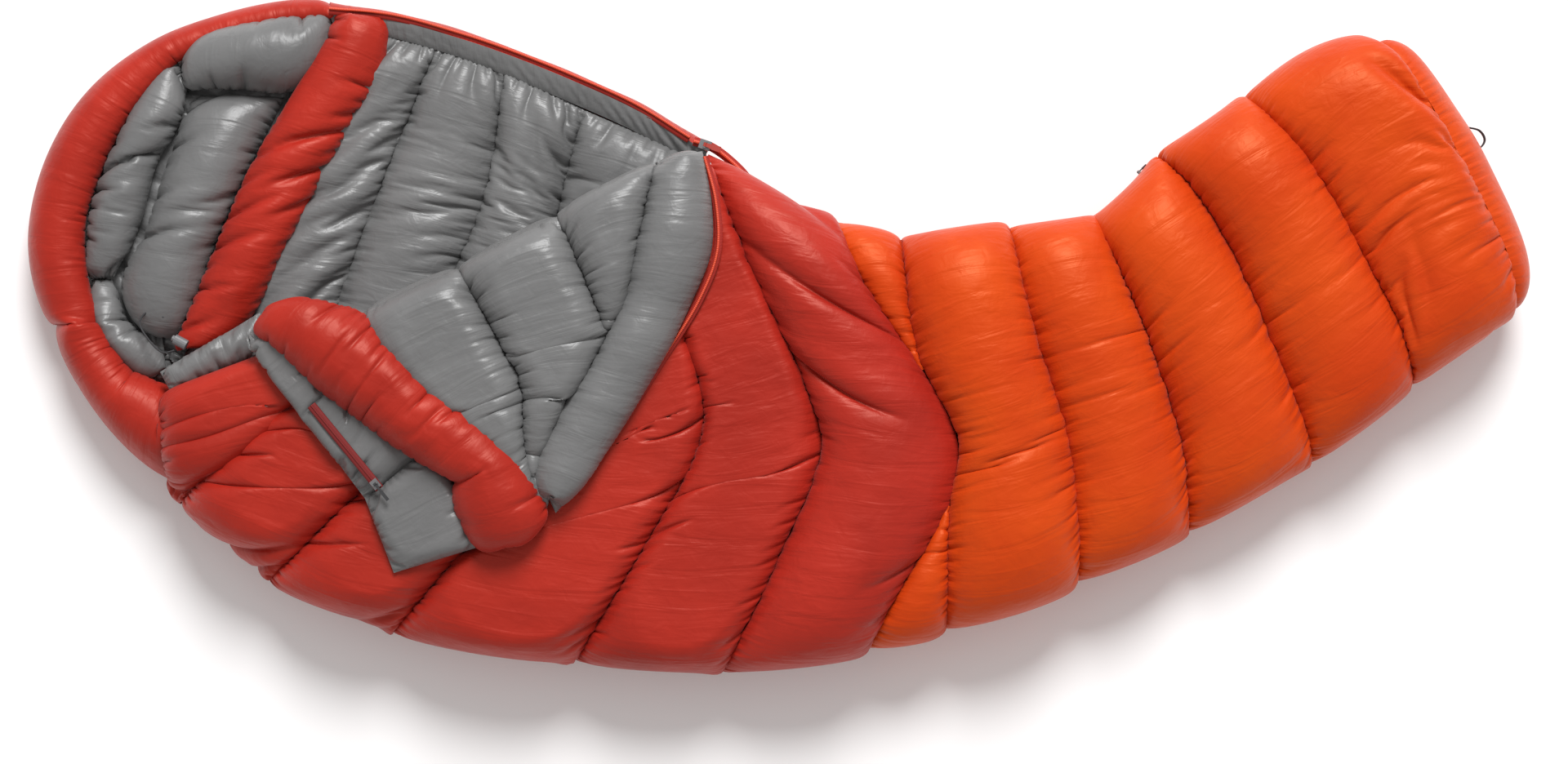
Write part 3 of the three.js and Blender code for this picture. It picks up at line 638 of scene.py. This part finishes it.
def torso():
    waist = section(WAIST, 0.134, seed=21)
    middle = section(TORSO_MIDDLE, 0.150, seed=22)
    upper = section(TORSO, 0.130, seed=23, reach=0.002)
    quilt("torso_1", [waist, middle, upper], RED, ["front_torso_1", "back_torso_1"], seed=21,
          lift=0.01, close=SOLE_HEIGHT, by_height=True, slack_across=1.015, slack_along=0.975)


def chest():
    seams = [
        section(TORSO, 0.130, start="fold", seed=23, reach=0.002),
        section(CHEST_1, 0.128, start="fold", seed=24, radius=0.15, reach=0.005),
        section(CHEST_2, 0.124, start="fold", seed=25, radius=0.15, reach=0.009),
        section(CHEST_3, 0.122, start="fold", seed=26, radius=0.15, reach=0.010),
        section(CHEST_4, 0.118, start="fold", seed=27, radius=0.15, reach=0.008),
        section(NECK, 0.116, start="fold", seed=28, radius=0.06, reach=0.006),
    ]
    names = ["front_torso_2", "front_chest_1", "front_chest_2", "front_chest_3", "front_chest_4"]
    for k, name in enumerate(names):
        quilt(f"{name}_shell", seams[k : k + 2], RED, [name], seed=40 + k, ceiling=FLAP_SOLE - 0.001,
              by_height=True, slack_across=1.03, slack_along=0.965, sewn_start=True, bend=0.11)


# ---------------------------------------------------------------- the open back

ZIP_EDGE = Line([-604, 438], [-520, 430], [-434, 407], [-368, 385], [-280, 350], [-191, 309], [-94, 252])
PLACKET = Line([-600, 424], [-524, 408], [-440, 384], [-376, 360], [-290, 324], [-200, 284], [-92, 226])
BACK_SEAMS = [
    Line([-90, 236], [-150, 120], [-190, -60]),
    Line([-262, 310], [-300, 158], [-320, -60]),
    Line([-368, 362], [-398, 192], [-442, 82], [-470, -40]),
    Line([-462, 394], [-524, 246], [-596, 54], [-612, -20]),
    Line([-560, 416], [-640, 250], [-740, 40], [-760, -10]),
]


def open_back():
    placket = [level(ZIP_EDGE, 0.077), level(PLACKET, 0.066)]
    quilt("zip_placket", placket, GREY, [], seed=50, slack_across=1.01, slack_along=0.97, fill=0.2,
          shared=0.0, lift=0.0, pressure=0.004, gather=0.0, lumpy=0.0, bend=0.2)
    heights = [0.064, 0.046, 0.044, 0.046, 0.05]
    seams = [level(line, heights, seed=51 + k) for k, line in enumerate(BACK_SEAMS)]
    for k in range(4):
        nodes = [f"back_chest_{k + 1}"] + (["back_torso_2"] if k == 0 else [])
        quilt(f"back_lining_{k + 1}", seams[k : k + 2], GREY, nodes, seed=55 + k, lift=0.12, shared=0.3,
              slack_across=1.12, slack_along=0.995, sewn_sides=True, ceiling=0.1, fill=0.5, pressure=0.008,
              bend=0.03, gather=0.1)


def back_shell():
    """The red outside of the back: down from the open zip, under the bag to the other side."""
    edge = level(ZIP_EDGE, 0.075)
    out = edge + np.array([0.001, 0.002, -0.03])
    low = edge + np.array([-0.01, -0.012, -0.07])
    under = edge + np.array([-0.04, -0.06, -0.073])
    quilt("back_side", [edge, out, low, under], RED, [], seed=60, up=(0.3, 1, 0), lift=0.01,
          slack_across=1.02, shared=0.0)
    outer = Line([-60, -372], [-258, -352], [-470, -330], [-640, -262], [-740, -190], [-780, -160])
    sole = [under[::-1] * [1, 1, 0] + [0, 0, 0.003], level(outer, 0.003)[::-1]]
    sheet("back_sole", sole, RED, "bag", cell=4.0, up=(0, 0, -1), size=(0.1, 1))


# ---------------------------------------------------------------- the hood

RIM_INNER = [[-598, 437], [-716, 419], [-806, 379], [-852, 330], [-882, 290], [-914, 224], [-936, 158],
             [-934, 82], [-920, 16], [-882, -40], [-846, -58], [-818, -70]]
RIM_OUTER = [[-598, 444], [-722, 417], [-826, 386], [-892, 354], [-942, 312], [-984, 240], [-1006, 164],
             [-1002, 92], [-976, 22], [-932, -48], [-886, -118], [-812, -194]]


def hood_rim():
    inner, outer = np.array(RIM_INNER, float), np.array(RIM_OUTER, float)
    top_crown, low_crown = [0.076, 0.082, 0.092, 0.099, 0.102], [0.103, 0.122]
    parts = [(("top", "side"), 0, 9, top_crown), (("low",), 8, 12, low_crown)]
    for k, (names, first, last, crown) in enumerate(parts):
        a, b = inner[first:last], outer[first:last]
        away = (b - a) / np.linalg.norm(b - a, axis=1, keepdims=True)
        deep = np.minimum(0.3 * np.linalg.norm(b - a, axis=1, keepdims=True), 34)
        lines = [
            level(Line(*(a + 6 * away)), 0.052),
            level(Line(*a), 0.078),
            level(Line(*(a * 0.66 + b * 0.34)), crown),
            level(Line(*b), 0.052),
            level(Line(*(b - deep * away)), 0.003),
        ]
        nodes = [f"hood_shell_{name}" for name in names]
        quilt(f"hood_rim_{names[0]}", lines, RED, nodes, seed=70 + k, lift=0.0,
              slack_across=1.06, slack_along=1.015, shared=0.0, sewn_sides=True)


RIB_POINTS = 41


def stations(name, lines, material, replaces, seed, edge, crown, ends=None, fat=0.7, **how):
    """A cushion whose short ribs are given in plan: low at its edges and filled up in between."""
    ribs = []
    arch = np.sin(np.pi * np.linspace(0, 1, RIB_POINTS)) ** fat
    edges = np.linspace(*edge, RIB_POINTS) if isinstance(edge, tuple) else np.full(RIB_POINTS, edge)
    for k, points in enumerate(lines):
        share = min(k, len(lines) - 1 - k) / max(1, (len(lines) - 1) / 2)
        high = edges + (crown - edges) * min(1.0, 0.25 + 1.4 * share)
        if share == 0:
            high = ends[0 if k == 0 else 1] if ends else edges
        ribs.append(level(Line(*points), edges + (high - edges) * arch, samples=RIB_POINTS))
    quilt(name, ribs, material, replaces, seed, lift=0.0, sewn_sides=True, ribbed=True, shared=0.0, **how)


def hood_linings():
    stations("hood_floor", [
        [[-716, 420], [-626, 384]], [[-802, 380], [-664, 300]], [[-864, 300], [-704, 204]],
        [[-922, 192], [-746, 120]], [[-928, 92], [-778, 46]], [[-904, 4], [-808, -20]],
        [[-842, -50], [-818, -46]],
    ], GREY, ["hood_back"], 80, 0.032, 0.038, slack_across=1.03, slack_along=1.03, fill=0.4, pressure=0.004,
             ceiling=0.05)
    pads = {
        "top": ([[[-806, 392], [-806, 342]], [[-716, 424], [-728, 338]], [[-650, 436], [-662, 336]],
                 [[-600, 440], [-610, 380]]], 0.056, 0.100, 1.12, 1.07),
        "side": ([[[-816, 382], [-800, 346]], [[-872, 306], [-812, 290]], [[-910, 230], [-842, 236]],
                  [[-933, 164], [-866, 152]], [[-932, 80], [-900, 84]]], 0.056, 0.092, 1.14, 1.05),
        "low": ([[[-932, 80], [-904, 80]], [[-917, 20], [-884, 26]], [[-878, -36], [-852, -2]],
                 [[-834, -56], [-826, -42]]], 0.050, 0.084, 1.14, 1.05),
    }
    for k, (name, (ribs, edge, crown, across, along)) in enumerate(pads.items()):
        stations(f"hood_pad_{name}", ribs, GREY, [f"hood_lining_{name}"], 81 + k, edge, crown,
                 slack_across=across, slack_along=along, bend=0.03, pressure=0.012)
    stations("pillow", [
        [[-796, 332], [-670, 328]], [[-828, 236], [-716, 236]], [[-858, 136], [-762, 136]],
        [[-890, 72], [-792, 56]], [[-850, 6], [-826, 2]],
    ], GREY, ["hood_pillow"], 84, 0.046, 0.088, slack_across=1.10, slack_along=1.06, bend=0.03)


def neck():
    stations("back_collar_tube", [
        [[-596, 440], [-526, 432]], [[-608, 404], [-530, 374]], [[-662, 316], [-568, 304]],
        [[-716, 224], [-612, 224]], [[-758, 126], [-664, 126]], [[-796, 30], [-716, 28]],
        [[-812, -18], [-764, -8]],
    ], RED, ["back_collar"], 90, 0.066, 0.104, slack_across=1.08, slack_along=0.985, bend=0.09, gather=0.12,
             pressure=0.016, ends=(0.088, 0.092), lumpy=0.08)
    stations("neck_edge", [
        [[-826, -46], [-812, -72]], [[-780, -18], [-762, -54]], [[-738, 6], [-722, -36]],
        [[-692, 34], [-680, -10]],
    ], GREY, ["neck_binding"], 91, 0.112, 0.128, slack_across=1.06, slack_along=1.03, pressure=0.008,
             bend=0.03, ceiling=0.15)


# ---------------------------------------------------------------- the folded flap


def rolled(points, seed, high=0.176):
    """A seam of the flap that first comes up round the fold."""
    deep, tall, onward = 0.016, 0.024, 0.018  # the quarter round at the fold, and where the rest begins
    line = Line(*points)
    ahead = line(0.01)[0] - line(0.0)[0]
    ahead /= np.linalg.norm(ahead)
    turn = np.linspace(0, np.pi / 2, 9)
    up = line(deep)[0] - ahead * (deep * np.cos(turn))[:, None]
    up[:, 2] = high - tall + tall * np.sin(turn)
    along = line(np.linspace(onward, line.length, 90))
    along[:, 2] = high
    return wavy(np.vstack([up, along]), seed)


def flap():
    sole = FLAP_SOLE + 0.005
    inner = [[-160, 228], [-194, 92], [-228, -8], [-287, -95], [-322, -176], [-304, -226]]
    middle = Line([-124, 240], [-134, 130], [-164, 20], [-226, -110], [-304, -204])
    outer = Line([-98, 246], [-86, 180], [-86, 114], [-112, 46], [-150, -30], [-232, -162], [-292, -233])
    tube_seam = rolled(inner, 110, 0.174)
    tube = [tube_seam, level(middle, [0.18, 0.196, 0.194, 0.19, 0.18]), level(outer, sole)]
    quilt("draft_tube", tube, GREY, ["flap_draft_tube"], seed=100, body="flap", lift=0.0, sewn_sides=True,
          slack_across=1.09, slack_along=1.005, shared=0.0, floor=FLAP_SOLE, lumpy=0.1)
    seam_2 = rolled([[-287, 158], [-256, 84], [-224, 10]], 112)
    seam_3 = rolled([[-419, 88], [-372, 4], [-338, -60], [-332, -150], [-316, -212]], 113, 0.178)
    seam_4 = rolled([[-544, 30], [-530, -30], [-460, -86], [-366, -166], [-328, -224]], 114, 0.172)
    meeting = (-224, 10)  # where the first seam runs into that of the tube
    along_tube = cut(tube_seam, meeting, "before")
    onward = np.vstack([seam_2[:-1], cut(tube_seam, meeting, "after")])
    for k, sides in enumerate(([along_tube, seam_2], [onward, seam_3], [seam_3, seam_4])):
        quilt(f"flap_chamber_{k + 1}", sides, GREY, [f"flap_baffle_{k + 1}"], seed=101 + k, body="flap",
              sewn_sides=True, slack_across=1.12, slack_along=1.01, shared=0.15, lift=0.15, floor=0.1,
              ceiling=0.208)
    stations("flap_collar_tube", [
        [[-690, 14], [-668, 40]], [[-656, -16], [-604, 44]], [[-616, -58], [-546, 32]],
        [[-570, -95], [-508, -10]],
        [[-526, -128], [-456, -62]], [[-474, -160], [-402, -98]], [[-428, -184], [-356, -140]],
        [[-426, -226], [-318, -192]], [[-400, -266], [-304, -236]], [[-374, -280], [-334, -268]],
    ], RED, ["flap_collar"], 104, (sole, 0.176), 0.210, body="flap", slack_across=1.12, slack_along=1.02,
             bend=0.03, gather=0.16, floor=sole, ceiling=0.221, fat=0.5, lumpy=0.1, close=FLAP_SOLE + 0.0015)
    chin = [
        [[-702, -2], [-690, 12]], [[-676, -40], [-640, -20]], [[-630, -98], [-596, -56]],
        [[-580, -166], [-540, -96]], [[-544, -214], [-468, -152]], [[-530, -250], [-424, -196]],
        [[-506, -312], [-388, -276]],
    ]
    for k, (panel, ribs) in enumerate((("piece", chin[:5]), ("end", chin[4:]))):
        stations(f"flap_chin_{panel}", ribs, GREY, ["flap_chin"], 105 + k, sole, 0.180, body="flap",
                 slack_across=1.1, slack_along=1.03, floor=sole, ceiling=0.1815, pressure=0.01, bend=0.03,
                 gather=0.1, fat=0.35)


def flap_outside():
    """The red outside of the flap, which faces the chest while the flap is folded open."""
    seams = [
        [[-100, 244], [-88, 180], [-88, 114], [-114, 46], [-152, -30], [-234, -160], [-296, -230]],
        [[-160, 224], [-194, 92], [-228, -8], [-287, -95], [-322, -176], [-304, -226]],
        [[-419, 94], [-372, 4], [-338, -60], [-332, -150], [-312, -232]],
        [[-529, 42], [-530, -30], [-460, -86], [-366, -166], [-326, -244]],
        [[-690, -14], [-616, -60], [-536, -110], [-430, -186], [-360, -270]],
        [[-690, -18], [-614, -98], [-548, -176], [-518, -240], [-492, -296]],
    ]
    for k in range(5):
        sides = [Line(*points) for points in seams[k : k + 2]]
        a, b = (level(line, FLAP_SOLE + 0.004, trim=(0.016, 0.012)) for line in sides)
        middle = 0.5 * (a + b)
        middle[:, 2] = FLAP_SOLE + 0.0005
        sheet(f"flap_outside_{k + 1}", [a, middle, b], RED, "flap", cell=2.0, up=(0, 0, -1), facing=True)


# ---------------------------------------------------------------- zips, cords and small parts


def tape_weave(name, colour, pitch, rough=0.7):
    """Woven zip tape, or coil, with ribs across it. The ribs follow the length that is stored in the UVs."""
    m = bpy.data.materials.new(name)
    m.use_nodes = True
    t = m.node_tree
    bsdf = t.nodes["Principled BSDF"]
    uv = t.nodes.new("ShaderNodeUVMap")
    wave = t.nodes.new("ShaderNodeTexWave")
    wave.inputs["Scale"].default_value = 0.314 / pitch
    wave.inputs["Distortion"].default_value = 0.4
    t.links.new(uv.outputs["UV"], wave.inputs["Vector"])
    ribs = wave.outputs["Fac"]
    # painted shade: the colour is darker in the grooves between the ribs, where the bump is low, and full
    # between them
    t.links.new(two_tone(t, ribs, darker(colour, 0.62), colour), bsdf.inputs["Base Color"])
    t.links.new(bump(t, ribs, 0.6, 0.0004), bsdf.inputs["Normal"])
    bsdf.inputs["Roughness"].default_value = rough
    return m


def hard(name, colour, rough, metal=0.0, grain=900, depth=0.00004):
    """Moulded plastic or cast metal with a very fine grain."""
    m = bpy.data.materials.new(name)
    m.use_nodes = True
    t = m.node_tree
    bsdf = t.nodes["Principled BSDF"]
    where = t.nodes.new("ShaderNodeTexCoord")
    noise = t.nodes.new("ShaderNodeTexNoise")
    noise.inputs["Scale"].default_value = grain
    noise.inputs["Detail"].default_value = 3
    t.links.new(where.outputs["Object"], noise.inputs["Vector"])
    specks = noise.outputs["Fac"]
    t.links.new(two_tone(t, specks, darker(colour, 0.8), colour), bsdf.inputs["Base Color"])
    t.links.new(bump(t, specks, 0.4, depth), bsdf.inputs["Normal"])
    bsdf.inputs["Roughness"].default_value = rough
    bsdf.inputs["Metallic"].default_value = metal
    return m


SWEEP_STEP = 0.0012


def sweep(name, path, outline, material, body, replaces, teeth=0.0):
    """A strip of one section along a path in millimetres, with its length in its UVs. `outline` is in
    millimetres as [sideways, upwards], and `teeth` makes the section swell at every tooth of a coil."""
    line = Line(*path)
    count = max(4, int(line.length / SWEEP_STEP))
    at = np.linspace(0, line.length, count)
    points = line(at)
    ahead = np.gradient(points, axis=0)
    ahead /= np.linalg.norm(ahead, axis=1, keepdims=True)
    side = np.column_stack([-ahead[:, 1], ahead[:, 0], np.zeros(count)])
    side /= np.linalg.norm(side, axis=1, keepdims=True)
    up = np.cross(ahead, side)
    corners = np.array(outline, float) / 1000
    middle = corners.mean(0)
    swell = np.where(np.arange(count) % 2 == 0, 1.0, 1 - teeth)[:, None]
    rings = []
    for corner in corners:
        a, b = (middle + (corner - middle) * swell).T
        rings.append(points + side * a[:, None] + up * b[:, None])
    rings = np.stack(rings, 1)
    k = len(outline)
    index = np.arange(count * k).reshape(count, k)
    quads = [(index[i, j], index[i + 1, j], index[i + 1, (j + 1) % k], index[i, (j + 1) % k])
             for i in range(count - 1) for j in range(k)]
    ends = [tuple(index[0]), tuple(index[-1][::-1])]
    mesh = bpy.data.meshes.new(name)
    mesh.from_pydata(rings.reshape(-1, 3).tolist(), [], [tuple(map(int, q)) for q in quads + ends])
    uv = mesh.uv_layers.new(name="UVMap")
    ring_of = np.repeat(at, k)
    around = np.tile(np.linspace(0, 0.01, k), count)
    where = np.array([loop.vertex_index for loop in mesh.loops])
    uv.data.foreach_set("uv", np.column_stack([ring_of[where], around[where]]).ravel())
    mesh.materials.append(material)
    mesh.polygons.foreach_set("use_smooth", np.ones(len(mesh.polygons), bool))
    mesh.update()
    piece = bpy.data.objects.new(name, mesh)
    bpy.context.collection.objects.link(piece)
    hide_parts(*replaces)
    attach(piece, body)


def ring(a, b, wide, high, corners=8):
    turn = 2 * np.pi * (np.arange(corners) + 0.5) / corners
    return [[a + wide / 2 * np.cos(t), b + high / 2 * np.sin(t)] for t in turn]


ZIP_TAPE = tape_weave("zip_tape", srgb(176, 36, 22), 0.0014)
ZIP_COIL = tape_weave("zip_coil", srgb(226, 74, 40), 0.0024, rough=0.45)
POCKET_TAPE = tape_weave("pocket_tape", srgb(128, 20, 18), 0.0014)
METAL = hard("cast_metal", srgb(150, 150, 152), 0.34, metal=0.9)
RED_PLASTIC = hard("red_plastic", srgb(170, 60, 48), 0.45)
GREY_PLASTIC = hard("grey_plastic", srgb(112, 112, 114), 0.4)
DARK_CORD = hard("dark_cord", srgb(52, 52, 54), 0.75, grain=1500, depth=0.0002)

BACK_ZIP = [[-604, 443, 84], [-519, 435, 80], [-433, 412, 76], [-367, 390, 76], [-279, 355, 76],
            [-190, 314, 78], [-118, 269, 81]]
FLAP_ZIP = [[-99, 238, 166], [-84, 180, 166], [-82, 114, 166], [-106, 50, 165], [-152, -24, 162],
            [-238, -156, 161], [-295, -226, 161]]
SIDE_ZIP = [[-112, 266, 82], [-86, 257, 81], [-50, 228, 80], [0, 166, 80], [64, 142, 80], [142, 126, 80],
            [208, 130, 80], [341, 130, 80], [408, 132, 80], [451, 164, 80], [503, 224, 80]]
POCKET_ZIP = [[-612, -90, 184], [-522, -200, 184]]
COIL_TEETH, POCKET_TEETH = 0.22, 0.2


def zip_run(place, node, path, body, tape, coil_at, coil_wide):
    """One run of the main zip: its tape between two distances sideways, and its coil."""
    flat = [[tape[0], -3], [tape[1], -3], [tape[1], -1.8], [tape[0], -1.8]]
    coil = ring(coil_at, 0.2, coil_wide, 3.8)
    sweep(f"zip_tape_of_{place}", path, flat, ZIP_TAPE, body, [f"zip_tape_{node}"])
    sweep(f"zip_coil_of_{place}", path, coil, ZIP_COIL, body, [f"zip_coil_{node}"], COIL_TEETH)


def zips():
    zip_run("back", "back", BACK_ZIP, "bag", (-6, 4), 2, 4.4)
    zip_run("side", "closed", SIDE_ZIP, "bag", (-6, 6), 0, 5.6)
    zip_run("flap", "flap", FLAP_ZIP, "flap", (-1, 9), 3.6, 4.4)
    welt = [[-6, -2.4], [6, -2.4], [6, 0.4], [3.4, 1.2], [-3.4, 1.2], [-6, 0.4]]
    coil = ring(0, 1.6, 3, 1.6, 6)
    sweep("pocket_tape", POCKET_ZIP, welt, POCKET_TAPE, "flap", ["pocket_zip_tape"])
    sweep("pocket_coil", POCKET_ZIP, coil, POCKET_TAPE, "flap", ["pocket_zip_coil"], POCKET_TEETH)


def foot_loop():
    path = [[930, 285, 80], [949, 280, 80], [956, 268, 80], [951, 258, 80], [936, 252, 80]]
    band = [[-0.8, -4], [0.8, -4], [0.8, 4], [-0.8, 4]]
    sweep("foot_loop", path, band, DARK_CORD, "bag", ["hang_loop"])


def kept_parts():
    """CAD parts that are shown as they are."""
    looks = {
        METAL: ["main_slider", "lower_slider", "pocket_slider"],
        RED_PLASTIC: ["main_pull"],
        DARK_CORD: ["lower_pull", "pocket_pull"],
        GREY_PLASTIC: ["collar_lock", "collar_lock_button"],
    }
    for material, names in looks.items():
        for name in names:
            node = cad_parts[name]
            node.data.materials.clear()
            node.data.materials.append(material)


def collar_cord():
    path = [[-806, -17, 114], [-822, -20, 111], [-846, 0, 98], [-858, 22, 90], [-846, 36, 88], [-826, 28, 88]]
    line = Line(*path)
    points = line(np.linspace(0, line.length, 24))
    data = bpy.data.curves.new("collar_cord_loop", "CURVE")
    data.dimensions = "3D"
    data.bevel_depth = 0.0013
    data.bevel_resolution = 3
    spline = data.splines.new("POLY")
    spline.points.add(len(points) - 1)
    for k, p in enumerate(points):
        spline.points[k].co = (*p, 1)
    data.materials.append(DARK_CORD)
    cord = bpy.data.objects.new("collar_cord_loop", data)
    bpy.context.collection.objects.link(cord)
    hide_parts("collar_cord")
    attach(cord, "bag")


FOLD = [[-104, 246], [-160, 228], [-287, 158], [-419, 88], [-544, 31], [-690, -12]]


def fold_cloths():
    """The cloth of the fold itself, grey inside and red outside."""
    inward = np.array([0.42, -0.91, 0])
    outward = (-0.4, 1, 0)
    low, bend_low, middle, top = 0.084, 0.122, 0.118, 0.152
    collar_top, outside_high, outside_bend = 0.168, 0.140, 0.134

    def rib(point, high):
        at = np.array([*point, 0]) / 1000
        path = [at + 0.016 * inward, at + 0.006 * inward, at]
        return resample(np.array(path) + [[0, 0, low], [0, 0, middle], [0, 0, high]], 24)

    for k in range(5):
        ribs = [rib(FOLD[k], top), rib(FOLD[k + 1], top if k < 4 else collar_top)]
        piece = quilt(f"fold_lining_{k + 1}", ribs, GREY, [], seed=120 + k, body=None, lift=0.06, up=outward,
                      slack_across=1.08, shared=0.0, fill=0.4, sewn_sides=True)
        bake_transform(piece)
    fold = level(Line(*FOLD), outside_high) + 0.004 * inward
    under = fold + 0.026 * inward - [0, 0, 0.012]
    over = fold + 0.030 * inward + [0, 0, FLAP_SOLE + 0.001 - outside_high]
    piece = sheet("fold_outside", [under, fold, over], RED, None, cell=2.0, up=outward)
    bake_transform(piece)


legs()
foot()
gussets()
torso()
chest()
open_back()
back_shell()
hood_rim()
hood_linings()
neck()
flap()
flap_outside()
fold_cloths()
zips()
foot_loop()
kept_parts()
collar_cord()


# ---------------------------------------------------------------- stage, light and camera


def studio():
    bpy.ops.mesh.primitive_plane_add(size=14, location=(0, 0, 0))
    floor = bpy.context.object
    floor.name = "floor"
    m = bpy.data.materials.new("floor")
    m.use_nodes = True
    b = m.node_tree.nodes["Principled BSDF"]
    b.inputs["Base Color"].default_value = (0.95, 0.945, 0.945, 1)
    b.inputs["Roughness"].default_value = 0.9
    b.inputs["Specular IOR Level"].default_value = 0.1
    floor.data.materials.append(m)

    world = bpy.data.worlds.new("studio")
    world.use_nodes = True
    world.node_tree.nodes["Background"].inputs["Color"].default_value = (1, 0.985, 0.975, 1)
    world.node_tree.nodes["Background"].inputs["Strength"].default_value = 0.55
    bpy.context.scene.world = world

    data = bpy.data.lights.new("key", "AREA")
    data.shape = "DISK"
    data.size = 3.8
    data.energy = 850
    lamp = bpy.data.objects.new("key", data)
    lamp.location = (0.9, 6.2, 6.2)
    lamp.rotation_euler = (-lamp.location).to_track_quat("-Z", "Y").to_euler()
    bpy.context.collection.objects.link(lamp)


def camera():
    """Straight above the bag. It sees half_view to either side at view_distance."""
    sensor, half_view, view_distance = 36, 1.056, 4.0
    data = bpy.data.cameras.new("camera")
    data.sensor_width = sensor
    data.lens = sensor / 2 / (half_view / view_distance)
    cam = bpy.data.objects.new("camera", data)
    cam.location = (0.0099, -0.0594, 4.09)
    cam.rotation_euler = (0, 0, 0)
    bpy.context.collection.objects.link(cam)
    bpy.context.scene.camera = cam
    bpy.context.scene.view_settings.view_transform = "Standard"


studio()
camera()
